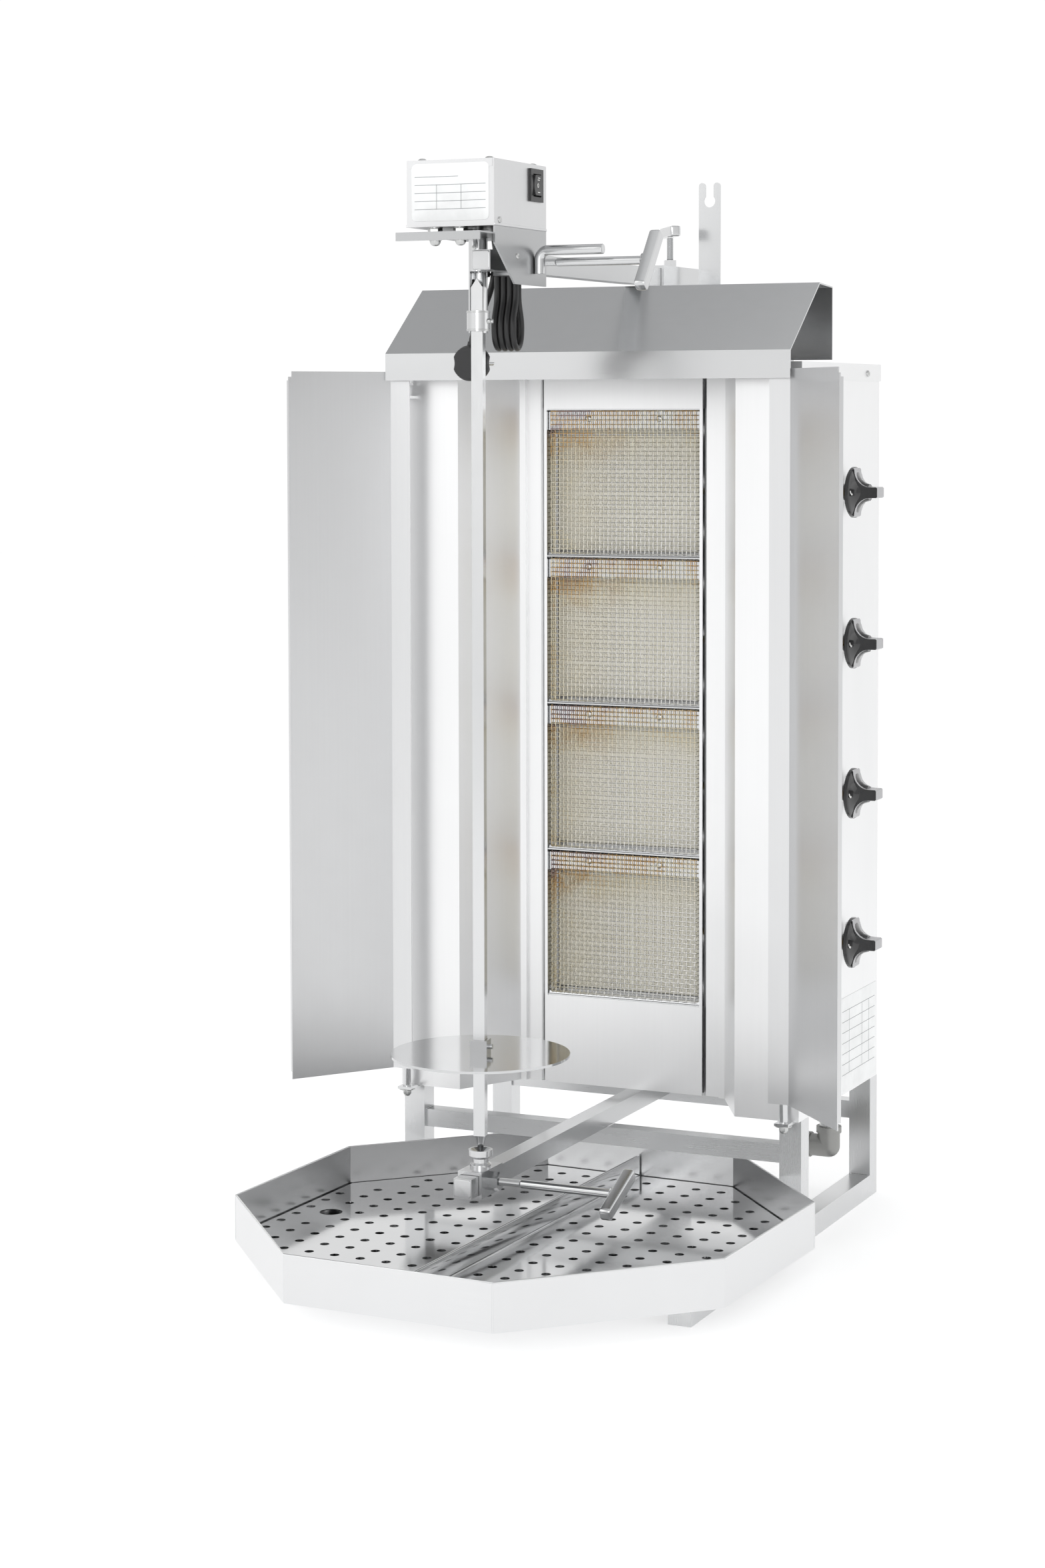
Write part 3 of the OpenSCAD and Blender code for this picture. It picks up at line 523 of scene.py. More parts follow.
# ---------------------------------------------------------------- cord
cord_d = 6.4
cord_exit = (-34, -238.6, 1124)
cord_a = [cord_exit, (-34, -228, 1124), (-34, -217, 1124), (-31.5, -204, 1123),
          (-26, -193.5, 1119.5), (-18.5, -186, 1113), (-11, -183, 1104.5), (-6, -184, 1095),
          (-3.5, -188, 1084), (-2.3, -193.5, 1073), (-1, -199, 1062.5), (-0.1, -203.5, 1052),
          (0.2, -206.2, 1040.4)]
cord_b = [(-20.7, -217.2, 1110.4), (-25.1, -204.2, 1104), (-27.6, -199.9, 1097.5),
          (-27.9, -199.1, 1090.4), (-27.6, -201, 1081), (-26.6, -205.4, 1072),
          (-25.6, -210, 1061), (-25.2, -211.6, 1050), (-26, -213, 1040), (-28, -216, 1028),
          (-31, -221, 1015), (-34.5, -226.5, 1002), (-37.5, -231, 990), (-39.5, -234.3, 981),
          (-40, -235, 973)]
hank_x, hank_y, hank_z = -8, -214.5, 1040.4
hank_half, hank_end = 50.0, 20.0  # half its length between the end loops, and their radius
hank_turn = math.radians(12)
waist, waist_half = 6.4, 13.4  # half its width at the tie, and half the tied length
swell = 18.3  # height over which a run bends away from the waist, and back again
hank_gap = 6.5  # from one turn to the next
TURNS = 4


def hank_at(stack, loop, z):
    """Point of the hank: stack across its runs, loop across its end loops, z above its waist."""
    c, s = math.cos(hank_turn), math.sin(hank_turn)
    return (hank_x + stack * c - loop * s, hank_y + stack * s + loop * c, hank_z + z)


def hank_side(z):
    """How far a run lies from the hank's middle at the height z from its waist."""
    z = abs(z) - waist_half
    out = (hank_end - waist) / 2
    bend = (swell * swell + out * out) / (2 * out)
    if z <= 0:
        return waist
    if z < swell:
        return waist + bend - math.sqrt(bend * bend - z * z)
    return hank_end - bend + math.sqrt(max(0, bend * bend - (2 * swell - z) ** 2))


hank = []
for i in range(TURNS):
    x = hank_gap * ((TURNS - 1) / 2 - i)
    if i:
        hank += [hank_at(x, hank_side(z), z) for z in range(48, -1, -8)]
    hank += [hank_at(x, hank_side(z), z) for z in range(-8, -49, -8)]
    for k in range(1, 8):
        a = math.pi * k / 8
        hank.append(hank_at(x, hank_end * math.cos(a), -hank_half - hank_end * math.sin(a)))
    hank += [hank_at(x, -hank_side(z), z) for z in range(-48, 49, 8)]
    for k in range(1, 8 if i < TURNS - 1 else 4):
        a = math.pi * k / 8
        hank.append(hank_at(x - hank_gap * k / 8, -hank_end * math.cos(a),
                            hank_half + hank_end * math.sin(a)))
route = smooth_path(cord_a + hank + cord_b, 3.0)
curve = bpy.data.curves.new("mains_cord", "CURVE")
curve.dimensions = "3D"
curve.bevel_depth = cord_d / 2 * MM
curve.bevel_resolution = 4
line = curve.splines.new("POLY")
line.points.add(len(route) - 1)
for q, v in zip(line.points, route):
    q.co = (*(v * MM), 1)
curve.materials.append(M["cord"])
mains = piece("mains_cord", curve, "motor_carriage", ["power_cord", "cord_hank"])

s = Shape()
relief_x, _, relief_z = cord_exit
relief = smooth_path([(relief_x, y, relief_z) for y in (-243.5, -234, -224, -216)], 1.3)
radii = []
for k, v in enumerate(relief):
    u = k / (len(relief) - 1)
    rib = 0.35 if k % 3 else -0.45
    radii.append(6.0 - 2.2 * u + (rib if 0.12 < u < 0.97 else 0))
s.tube(relief, radii, 24)
s.lathe([(0, 0), (6.4, 0), (7.6, 0.6), (8, 1.4), (7.8, 2.4), (0, 2.6)],
        (relief_x, CASE_BACK - 0.2, relief_z), "y", 32)
boot = s.done("strain_relief", "plug", "motor_carriage", "plug_rubber", angle=50)

# Round moulded plug: grooved sides, grip notches, two pins to the rear.
plug_x, plug_z = -40, 955
s = Shape()
prof = [(0, 0), (14.5, 0), (16.2, 0.6), (17.2, 2.2), (17.5, 4.5), (18.4, 6), (18.5, 8), (17.6, 9.5),
        (17.5, 12), (18.4, 13.5), (18.5, 16), (18, 21), (17, 23), (15, 24), (0, 24)]
vs = s.lathe(prof, (plug_x, -247, plug_z), "y", 64)
for v in vs:
    dx, dz = v.co.x - plug_x, v.co.z - plug_z
    ang = math.atan2(dz, dx)
    side = max(0, math.cos(ang) ** 2 - 0.86) / 0.14
    if math.hypot(dx, dz) > 10:
        k = 1 - 0.13 * side
        v.co.x, v.co.z = plug_x + dx * k, plug_z + dz * k
s.lathe([(0, 0), (11.8, 0), (11.4, -0.5), (0, -0.5)], (plug_x, -246.6, plug_z), "y", 40)
neck = smooth_path([(plug_x, -235, plug_z + up) for up in (14, 18, 22.5)], 1.2)
s.tube(neck, [5.6, 5.6, 5.2, 4.9, 4.6, 4.3, 4.1, 3.9], 24)
plug_body = s.done("plug_body", "plug", "motor_carriage", "plug_rubber", ["plug"])
s = Shape()
for k in (-9.5, 9.5):
    s.lathe([(0, 0), (2.4, 0), (2.4, 17.4), (2.1, 18.5), (1.2, 19), (0, 19)],
            (plug_x + k, -223, plug_z), "y", 24)
plug_pins = s.done("plug_pins", "chrome", "motor_carriage")

s = Shape()
lash = smooth_path([(28, -222, 1068.2), (20, -221.5, 1068.6), (12, -222.5, 1066.8),
                    (5, -223.8, 1060), (-6, -226.3, 1056), (-19, -228.8, 1052),
                    (-25.5, -226, 1050), (-30.2, -213, 1048), (-28, -207, 1046.8),
                    (-22.5, -205.6, 1045.6), (-10, -203.2, 1044.4), (2.7, -200.3, 1043.4),
                    (8, -202, 1043), (14, -206, 1043), (24, -212, 1043), (31, -216, 1044),
                    (33.4, -218.5, 1050), (33.4, -220.5, 1060), (32.4, -221.5, 1066)], 2.5, True)
s.tube(lash, 1.3, 10, True)
s.box((-31.8, -220, 1044.5), (-28.4, -213.5, 1052), 0.8)
tie = s.done("cord_tie", "strap", "motor_carriage")


# ---------------------------------------------------------------- CAD nodes
def dress(node, material, bevel=0.0, seg=2):
    o = OBJ[node]
    if not o.material_slots:
        o.data.materials.append(M[material])
    for slot in o.material_slots:
        slot.material = M[material]
    if bevel:
        b = o.modifiers.new("edges", "BEVEL")
        b.width = bevel * MM
        b.segments = seg
        b.limit_method = "ANGLE"
        b.angle_limit = math.radians(50)
        b.use_clamp_overlap = True
        b.harden_normals = True


DRESS = {
    "side_frame_left": ("frame_z", 1.6), "side_frame_right": ("frame_z", 1.6),
    "cross_ties": ("frame_x", 1.4), "lower_arm": ("frame_y_painted_shade", 1.4),
    "back_panel": ("panel", 0.4), "side_panel_left": ("panel", 0.4),
    "side_panel_right": ("panel", 0.4), "top_cover": ("panel_x", 0.5), "base_pan": ("panel_x", 0),
    "niche_left": ("panel", 0.5), "niche_right": ("panel", 0.5), "burner_plate": ("panel", 0.3),
    "hood": ("hood", 0.5), "hanger_plate": ("bright", 0.3), "burner_housings": ("bright_x", 0.4),
    "plaques_1": ("ceramic", 0), "plaques_2": ("ceramic", 0), "plaques_3": ("ceramic", 0),
    "plaques_4": ("ceramic", 0), "mesh_1": ("guard", 0), "mesh_2": ("guard", 0),
    "mesh_3": ("guard", 0), "mesh_4": ("guard", 0), "gas_rail": ("zinc", 0),
    "supply_elbow": ("iron", 0), "gas_valves": ("brass", 0.4), "wing_hinges": ("bright", 0.2),
    "wing_left": ("wing", 0.3), "wing_right": ("wing", 0.3), "arm_socket": ("bright_y", 0.8),
    "upper_arm": ("frame_y_painted_shade", 1.4), "socket_clamp": ("bright", 0), "motor_bracket": ("bracket", 0.4),
    "pull_handle": ("bright_x", 0), "upper_clamp": ("bright_x", 0), "motor_case": ("case", 1.8),
    "gearmotor": ("motor", 1.5), "switch_bezel": ("switch", 0.5), "rocker": ("switch", 0),
    "power_cord": ("cord", 0), "cord_hank": ("cord", 0), "plug": ("plug", 0),
    "drive_tube": ("chrome", 0.3), "lock_collar": ("chrome", 0.4), "spit": ("bright", 0.35),
    "meat_plate": ("mirror", 0.3), "cup_bearing": ("bright", 0.3),
    "lower_carriage": ("bright_y", 0.8), "lower_clamp": ("bright_x", 0),
    "drip_tray": ("tray", 0.3), "grid_left": ("mirror", 0), "grid_right": ("mirror", 0),
}
for k in range(1, 5):
    DRESS[f"stem_{k}"] = ("brass", 0)
    DRESS[f"knob_{k}"] = ("knob", 0)
for node, (material, bevel) in DRESS.items():
    dress(node, material, bevel)


# ---------------------------------------------------------------- burners
def burner_mesh(name, build, material, body, node_fmt):
    """One mesh shared by the four burners, each moved down by the pitch."""
    base = build()
    bmesh.ops.recalc_face_normals(base, faces=base.faces)
    for f in base.faces:
        f.smooth = True
    for e in base.edges:
        e.smooth = len(e.link_faces) == 2 and e.calc_face_angle(0) < 0.7
    for i in range(4):
        bm = base.copy()
        bmesh.ops.translate(bm, vec=(0, 0, -PITCH * i), verts=bm.verts)
        bmesh.ops.scale(bm, vec=(MM, MM, MM), verts=bm.verts)
        mesh = bpy.data.meshes.new(f"{name}_{i + 1}")
        bm.to_mesh(mesh)
        bm.free()
        mesh.materials.append(M[material])
        piece(f"{name}_{i + 1}", mesh, body, [node_fmt.format(i + 1)] if node_fmt else ())
    base.free()


def woven():
    """Woven guard of the top burner: 5 mm weave, both edges returned backwards."""
    s = Shape()
    step, r, y0, dip = 5.0, 0.55, 75.2, 0.5
    half, z0, z1 = 88.5, TOP - PITCH + 4.5, TOP - 2.5
    nx, nz = round(2 * half / step), round((z1 - z0) / step)
    for i in range(nx + 1):
        x = -half + i * step
        side = 1 if i % 2 else -1
        pts = []
        for k in range(2 * nz + 1):
            z = z0 + (z1 - z0) * k / (2 * nz)
            w = side * dip * (0 if k % 2 else (1 if (k // 2) % 2 else -1))
            pts.append((x, y0 + w, z))
        pts = [(x, y0 + 7, z0 - 1.6), (x, y0 + 3, z0 - 2.4), (x, y0 + 0.8, z0 - 1.9)] + pts
        pts += [(x, y0 + 1.0, z1 + 1.2), (x, y0 + 4, z1 + 1.8), (x, y0 + 9, z1 + 1.8)]
        s.tube(pts, r, 5)
    for j in range(nz + 1):
        z = z0 + j * (z1 - z0) / nz
        side = -1 if j % 2 else 1
        pts = []
        for k in range(2 * nx + 1):
            x = -half + half * k / nx
            w = side * dip * (0 if k % 2 else (1 if (k // 2) % 2 else -1))
            pts.append((x, y0 + w, z))
        pts = [(-half - 1.6, y0 + 17, z), (-half - 1.9, y0 + 8, z), (-half - 1.7, y0 + 2, z),
               (-half - 1.0, y0 + 0.5, z)] + pts
        pts += [(half + 1.0, y0 + 0.5, z), (half + 1.7, y0 + 2, z), (half + 1.9, y0 + 8, z),
                (half + 1.6, y0 + 17, z)]
        s.tube(pts, r, 5)
    for x in (-1, 1):
        for k in range(3):
            y = y0 + 4.5 + 5 * k
            middle = x * (half + 1.9)
            end = middle + (0.5 if k % 2 else -0.5)
            s.tube([(end, y, z0), (middle, y, (z0 + z1) / 2), (end, y, z1)], r, 5)
    return s.bm


burner_mesh("guard_weave", woven, "guard", "frame", "mesh_{}")


PLAQUE_DROP = 95.5  # from a burner's top to the middle of its plaques


def plaque_pair():
    """Two pierced plaques: raised border, hexagon holes in groups, dished rows."""
    bm = bmesh.new()
    y0, depth = 102.9, 1.4
    width, height, gap, edge = 92, 132, 0.3, 2.6
    hole_share = 0.3648  # from a cell's middle to a hole's corner, as a share of the cell
    zc = TOP - PLAQUE_DROP
    for sx in (0, 1):
        x0, x1 = width * (sx - 1) + gap, width * sx - gap
        z0, z1 = zc - height / 2 + gap, zc + height / 2 - gap
        nx, nz = 34, 50
        cx, cz = (x1 - x0 - 2 * edge) / nx, (z1 - z0 - 2 * edge) / nz
        grid = {}

        def corner(i, j):
            key = (i, j)
            if key not in grid:
                x, z = x0 + edge + i * cx, z0 + edge + j * cz
                wave = 0.35 * math.sin(i * math.pi / 2) ** 2 * math.sin(j * math.pi / 2.5) ** 2
                if i in (0, nx) or j in (0, nz):
                    wave = 0
                grid[key] = bm.verts.new((x, y0 + 0.55 + wave, z))
            return grid[key]

        for i in range(nx):
            for j in range(nz):
                q = [corner(i, j), corner(i + 1, j), corner(i + 1, j + 1), corner(i, j + 1)]
                if (i % 4 == 3) or (j % 5 == 4):
                    bm.faces.new(q)
                    continue
                mx, mz = x0 + edge + (i + 0.5) * cx, z0 + edge + (j + 0.5) * cz
                rim = []
                for k in range(4):
                    a = math.radians(-135 + 90 * k)
                    rim.append(bm.verts.new((mx + hole_share * cx * math.cos(a), y0 + 0.62,
                                             mz + hole_share * cz * math.sin(a))))
                deep = [bm.verts.new((v.co.x, y0 + 0.62 + depth, v.co.z)) for v in rim]
                for k in range(4):
                    n = (k + 1) % 4
                    bm.faces.new((q[k], q[n], rim[n], rim[k]))
                    bm.faces.new((rim[k], rim[n], deep[n], deep[k]))
                bm.faces.new(deep)
        levels = [(edge, 0.55), (edge - 0.5, 0.0), (0.7, -0.15), (0.0, 0.5), (0.0, 11.9)]
        rings = []
        for inset, dy in levels:
            rings.append([bm.verts.new((x, y0 + dy, z)) for x, z in (
                (x0 + inset, z0 + inset), (x1 - inset, z0 + inset),
                (x1 - inset, z1 - inset), (x0 + inset, z1 - inset))])
        for a, b in zip(rings, rings[1:]):
            for k in range(4):
                n = (k + 1) % 4
                bm.faces.new((a[k], a[n], b[n], b[k]))
        bm.faces.new(rings[-1])
    return bm


burner_mesh("plaque_pair", plaque_pair, "ceramic", "frame", "plaques_{}")

s = Shape()
for i in range(4):
    z = TOP - PITCH * i - PLAQUE_DROP
    s.box((-2.2, 101.6, z - 65.5), (2.2, 104.5, z + 65.5), 0.6)
s.done("plaque_seams", "cement", "frame", "plaque_ceramic")
s = Shape()
for i in range(4):
    z = TOP - PITCH * i
    # bright head strip over the plaques with its two screws, folded lip at the bottom
    s.prism([(99.2, z - 28.6), (78.5, z - 24.4), (77.6, z - 23.5), (77.6, z - 3.2), (78.6, z - 2.2),
             (99.2, z - 1.8), (99.2, z - 2.6), (79, z - 3.2), (78.4, z - 3.8), (78.4, z - 22.8),
             (79, z - 23.6), (99.2, z - 27.8)], "x", -92.4, 92.4)
    foot = z - PITCH
    s.prism([(74.9, foot + 2.0), (80, foot + 1.6), (101, foot + 1.6), (101, foot + 3.2),
             (80.5, foot + 3.2), (78.4, foot + 5.0), (76.4, foot + 4.8)], "x", -92.4, 92.4)
s.done("burner_strips", "bright_x", "frame", "bright_steel")
s = Shape()
for i in range(4):
    for x in (-43, 43):
        pan_head(s, (x, 77.5, TOP - PITCH * i - 11), "y", 7.6, 1.9, -1, 0.3 + i + x)
s.done("burner_screws", "zinc", "frame", "bright_steel")


# ---------------------------------------------------------------- grips and screws
def round_rect(w, h, r, seg=4):
    """Outline of a rectangle with rounded corners."""
    pts = []
    for k, (cx, cy) in enumerate(((1, 1), (-1, 1), (-1, -1), (1, -1))):
        for n in range(seg + 1):
            a = math.radians(90 * k + 90 * n / seg)
            pts.append((cx * (w / 2 - r) + r * math.cos(a), cy * (h / 2 - r) + r * math.sin(a)))
    return pts


def shifted(at, turn=0.0, axis="Z"):
    return Matrix.Translation(Vector(at)) @ Matrix.Rotation(math.radians(turn), 4, axis)


def clamp_screw(node, at, length, turn, body):
    """Threaded rod with its T bar, along X."""
    s = Shape()
    rod = s.thread((0, 0, 0), "x", 8, 36) + s.rod((36, 0, 0), "x", 9, length - 35, 0.6)
    rod += s.lathe([(0, 0), (6.6, 0), (7, 0.5), (5.4, 2), (0, 2)], (length - 1.2, 0, 0), "x", 32)
    bar = s.prism(round_rect(14, 72, 4), "x", length, length + 12, 2.4, 2)
    s.move(rod + bar, shifted(at, turn, "X"))
    return s.done(node + "_grip", "bright_x", body, "bright_steel", [node], angle=30)


clamp_screw("upper_clamp", (31.2, -257, HEAD_Z), 130, -38, "upper_screw")
clamp_screw("lower_clamp", (10.2, SPIT_Y, FOOT_Z), 136, -67, "lower_screw")
s = Shape()
s.thread((ARM_X, 164, 1066.3), "z", 8, 37)
bar = s.prism(round_rect(12, 60, 3), "z", 0, 12, 2.2, 2)
s.move(bar, shifted((ARM_X, 164, 1103.3), 34.6))
s.done("socket_grip", "bright", "socket_screw", "bright_steel", ["socket_clamp"], angle=30)

s = Shape()
bend = [(122.6 - 8 * k, -270, 1067.5) for k in range(8)]
bend += [(62.4 - 9 * math.sin(a), -270, 1058.5 + 9 * math.cos(a))
         for a in (math.pi / 2 * k / 8 for k in range(9))]
bend += [(53.4, -270, z) for z in (1053, 1048, 1044)]
pull = [(123.4, -270, 1067.5), (123.2, -270, 1067.5)] + bend
s.tube(pull, [3.6, 4.8] + [5.25] * len(bend), 28)
s.done("pull_bar", "bright_x", "motor_carriage", "bright_steel", ["pull_handle"], angle=50)

# ---------------------------------------------------------------- motor head
s = Shape()
vs = s.prism(round_rect(85, 57, 5), "y", CASE_FRONT - 0.45, CASE_FRONT + 0.1, 0.15, 1)
s.move(vs, shifted((0, 0, 1122)))
s.done("front_label", "label", "motor_carriage")
s = Shape()
for k, w in enumerate((48, 78, 78, 78, 78)):
    z = 1137 - 8 * k
    s.box((-39, CASE_FRONT - 0.56, z), (-39 + w, CASE_FRONT - 0.4, z + 0.55), 0)
for x in (-15, 12):
    s.box((x, CASE_FRONT - 0.56, 1105), (x + 0.5, CASE_FRONT - 0.4, 1129.3), 0)
s.done("front_label_rules", "print", "motor_carriage")
s = Shape()
for x, y in ((-36, -356), (38, -356), (-36, -253), (38, -253)):
    s.lathe([(0, 0), (4.6, 0), (4.6, 0.5), (4.0, 1.6), (2.4, 2.5), (0, 2.8)],
            (x, y, CASE_TOP), "z", 28)
for x in (-22, 6):
    s.hexagon((x, -356, 1081.6), "z", 13, 5.4, 0.3)
    s.lathe([(0, 0), (7.4, 0), (7.4, 1), (0, 1)], (x, -356, 1086.9), "z", 32)
    s.hexagon((x, -356, 1075), "z", 13, 5, 0.9)
    s.lathe([(5.6, 0), (5.4, -2.2), (4, -4.6), (2, -5.6), (0, -5.8)],
            (x, -356, 1075.2), "z", 28)
for x in (-30, 30):
    s.hexagon((x, -256, 1081.6), "z", 13, 5.4, 0.5)
pan_head(s, (CASE_X, -354, 1094), "x", 6.4, 1.6)
pan_head(s, (CASE_X, -312, 1060), "x", 6.4, 1.6)
s.done("head_screws", "zinc", "motor_carriage", "bright_steel")
s = Shape()
for x in (CASE_X - 0.4, -CASE_X - 1):
    s.box((x, CASE_FRONT - 0.2, CASE_LOW), (x + 1.4, CASE_BACK, CASE_LOW + 2.6), 0.6)
s.prism([(CASE_FRONT - 0.4, CASE_TOP - 0.8), (CASE_FRONT - 0.4, CASE_TOP - 8),
         (CASE_FRONT, CASE_TOP - 8), (CASE_FRONT, CASE_TOP - 0.8)], "x", -46.5, 46.5, 0.1, 1)
s.done("case_folds", "case", "motor_carriage", "bright_steel")

ROCKER_Y, ROCKER_Z, ROCKER_HALF = -269, 1133, 10.2


def rocker_x(up):
    """Face of the dished rocker, at a height up from its middle."""
    return 53.1 - 1.9 * math.cos(math.pi / 2 * up / ROCKER_HALF)


s = Shape()
face = [(rocker_x(ROCKER_HALF * k / 6), ROCKER_Z + ROCKER_HALF * k / 6) for k in range(6, -7, -1)]
s.prism([(42, 1125), (42, 1141), (50, 1143.6)] + face + [(50, 1122.4)], "y",
        ROCKER_Y - 8.6, ROCKER_Y + 8.6, 0.5, 2)
s.done("rocker_body", "switch", "rocker", "switch_plastic", ["rocker"])
s = Shape()
for up in (7.4, 5.4, -7):
    x, z = rocker_x(up), ROCKER_Z + up
    s.box((x - 0.05, ROCKER_Y - 2.5, z - 0.35), (x + 0.28, ROCKER_Y + 2.5, z + 0.35), 0)
ring = [(51.35, ROCKER_Y + 1.5 * math.cos(a), ROCKER_Z + 2 * math.sin(a))
        for a in (math.tau * k / 24 for k in range(24))]
s.tube(ring, 0.28, 6, True)
s.done("rocker_marks", "dot", "rocker")
s = Shape()
pan_head(s, (0, SPIT_Y - 9.4, 1070), "y", 4.6, 0.8, -1)
s.done("tube_screw", "zinc", "rotor", "drive_chrome")
s = Shape()
s.lathe([(0, 0), (2.6, 0), (2.6, 2.2), (2.1, 2.8), (0, 2.8)], (11.2, SPIT_Y, 996), "x", 24)
for z in (986.6, 1004.4):
    s.lathe([(11.4, 0), (12, 0.3), (12, 1.2), (11.4, 1.5), (11.4, 0)],
            (0, SPIT_Y, z), "z", 48)
s.done("collar_screw", "zinc", "collar", "drive_chrome")

# ---------------------------------------------------------------- bars and tray
s = Shape()
for x, y, z in ((ARM_X, -340, HEAD_Z), (0, -346, FOOT_Z)):
    cap = s.prism(round_rect(18.6, 18.6, 2.6), "y", 0, 2.2, 0.8, 2)
    s.move(cap, shifted((x, y - 0.7, z)))
s.done("bar_caps", "bright_x", "frame", "bright_steel")

tray_m = shifted((0, -198, 25), -2)
half_w, half_l, cut_x, cut_y = 282, 298, 166, 177


def octagon(d):
    """The tray's outline, drawn in by d."""
    p = [(half_w - cut_x, -half_l + d), (half_w - d, -half_l + cut_y),
         (half_w - d, half_l - cut_y), (half_w - cut_x, half_l - d)]
    return p + [(-x, y) for x, y in p[::-1]]


s = Shape()
vs = []
for x, y in octagon(0):
    vs += s.lathe([(0, 0.6), (0.6, 0.8), (0.9, 2), (0.8, 48), (0.5, 49.3), (0, 49.5)],
                  (x * 0.9985, y * 0.9985, 0), "z", 12)
rim = [(x, y, 49.4) for x, y in octagon(0.6)]
vs += s.tube(rim, 0.75, 10, True)
s.move(vs, tray_m)
s.done("tray_seams", "tray", "tray", "tray_steel")


def perforated(side):
    """Half of the drain grid: drilled sheet, centre flange, finger hole and ribs."""
    s = Shape()
    pitch_x, pitch_y, first_x, first_y = 30.5, 31.8, 22.7, 11.0
    finger_x = 235

    def hole(x, y, r, seg):
        return [(side * (x + r * math.cos(a)), y + r * math.sin(a))
                for a in (math.tau * k / seg for k in range(seg))]

    holes = []
    for i in range(9):
        for j in range(-10, 10):
            x, y = first_x + i * pitch_x, first_y + j * pitch_y
            inside = x / half_w + abs(y) / half_l < 1.30 and x < 268 and abs(y) < 284
            if inside and math.hypot(x - finger_x, y) > 24:
                holes.append(hole(x, y, 5, 20))
    holes.append(hole(finger_x, 0, 12.5, 40))
    poly = [(side * 0.6, -half_l + 5)] + [(side * x, y) for x, y in octagon(5)[:4]]
    poly.append((side * 0.6, half_l - 5))
    vs = s.prism(poly, "z", 7, 8.2, 0, 2, holes)
    vs += s.prism([(side * 0.6, -half_l + 6), (side * 1.8, -half_l + 6), (side * 1.8, half_l - 6),
                   (side * 0.6, half_l - 6)], "z", 7.2, 32, 0.3)
    vs += s.tube([(side * 2.4, -half_l + 8, 8.3), (side * 2.4, half_l - 8, 8.3)], 0.9, 8)
    for y in (-180, 0, 180):
        near, far = sorted((side * 40, side * 200))
        vs += s.box((near, y - 1, 1.6), (far, y + 1, 7), 0.2)
    s.move(vs, tray_m)
    return s


for word, side in (("left", -1), ("right", 1)):
    perforated(side).done(f"drain_{word}", "mirror", f"grid_{word}", "tray_steel",
                          [f"grid_{word}"], angle=30, weighted=False)

# ---------------------------------------------------------------- knobs
for k in range(4):
    z = KNOB_Z - PITCH * k
    s = Shape()
    s.lathe([(0, 258), (5.8, 258), (5.8, 250.4), (6.6, 250), (27, 250), (28.3, 251.2), (28.3, 254),
             (27.6, 255), (25, 255.8), (19, 258), (14, 261.5), (10.6, 266), (9.2, 271), (0, 271)],
            (0, KNOB_Y, z), "x", 64)
    s.done(f"knob_skirt_{k + 1}", "knob", f"knob_{k + 1}", "knob_plastic", [f"knob_{k + 1}"])
    s = Shape()
    flare = [(255.2, 27)]
    for n in range(9):
        a = math.radians(90 * n / 8)
        flare.append((274 - 17.5 * math.cos(a), 6 + 19.5 * (1 - math.sin(a))))
    fin = flare + [(281.6, 6), (283, 4.8)]
    s.prism([(u, z + v) for u, v in fin] + [(u, z - v) for u, v in fin[::-1]], "y",
            KNOB_Y - 12.2, KNOB_Y + 12.2, 0.9, 3)
    grip = s.done(f"knob_grip_{k + 1}", "knob", f"knob_{k + 1}", "knob_plastic")
    grip.data.materials.append(M["grip"])
    for f in grip.data.polygons:
        if abs(f.normal.y) < 0.6:
            f.material_index = 1
    s = Shape()
    dot = s.lathe([(0, 0), (3, 0), (3.1, 0.3), (2.7, 0.7), (1.4, 0.7), (1.3, 0.35), (0, 0.35)],
                  (0, 0, 0), "z", 28)
    s.move(dot, shifted((256.3, KNOB_Y - 22.6, z), 70, "Y"))
    s.done(f"knob_dot_{k + 1}", "dot", f"knob_{k + 1}")
s = Shape()
for k in range(4):
    z = KNOB_Z - PITCH * k
    s.lathe([(4.6, 0), (10, 0), (10.2, 0.6), (9.4, 2), (7, 2.6), (4.6, 2.6), (4.6, 0)],
            (SIDE_X, KNOB_Y, z), "x", 40)
    pan_head(s, (SIDE_X, KNOB_Y - 19.5, z - 16), "x", 7, 2)
    pan_head(s, (SIDE_X, KNOB_Y + 19.5, z + 16), "x", 7, 2)
s.done("knob_plates", "zinc", "frame", "bright_steel")

# ---------------------------------------------------------------- cabinet details
s = Shape()
vs = s.prism(round_rect(127, 107, 2), "x", SIDE_X, SIDE_X + 0.4, 0.1, 1)
s.move(vs, shifted((0, 193.5, 194.5)))
s.done("side_label", "label", "frame")
s = Shape()
for k in range(7):
    z = 232 - 12 * k
    s.box((SIDE_X + 0.35, 136, z), (SIDE_X + 0.5, 251, z + 0.6), 0)
for y in (160, 205, 230):
    s.box((SIDE_X + 0.35, y, 160), (SIDE_X + 0.5, y + 0.6, 232.6), 0)
s.done("side_label_rules", "print", "frame")

s = Shape()
for side in (-1, 1):
    for y in (100, 214):
        pan_head(s, (side * (SIDE_X + 1.5), y, 947), "x", 7.5, 2.2, side, 0.3 + y)
    for z in (180, 420, 660, 900):
        pan_head(s, (side * 225, BACK_Y - 1, z), "y", 7.5, 2.2, 1, z)
for x in (-180, 0, 180):
    pan_head(s, (x, BACK_Y + 1, 947), "y", 7.5, 2.2, 1, x)
for x in (-80, 80):
    pan_head(s, (x, 200, COVER_Z), "z", 7.5, 2.2, 1, x)
for x, y in ((-4, 198), (-4, 237), (38, 198), (38, 237)):
    s.hexagon((x, y, COVER_Z + 3), "z", 8, 3.4, x)
s.done("panel_screws", "zinc", "frame", "bright_steel")

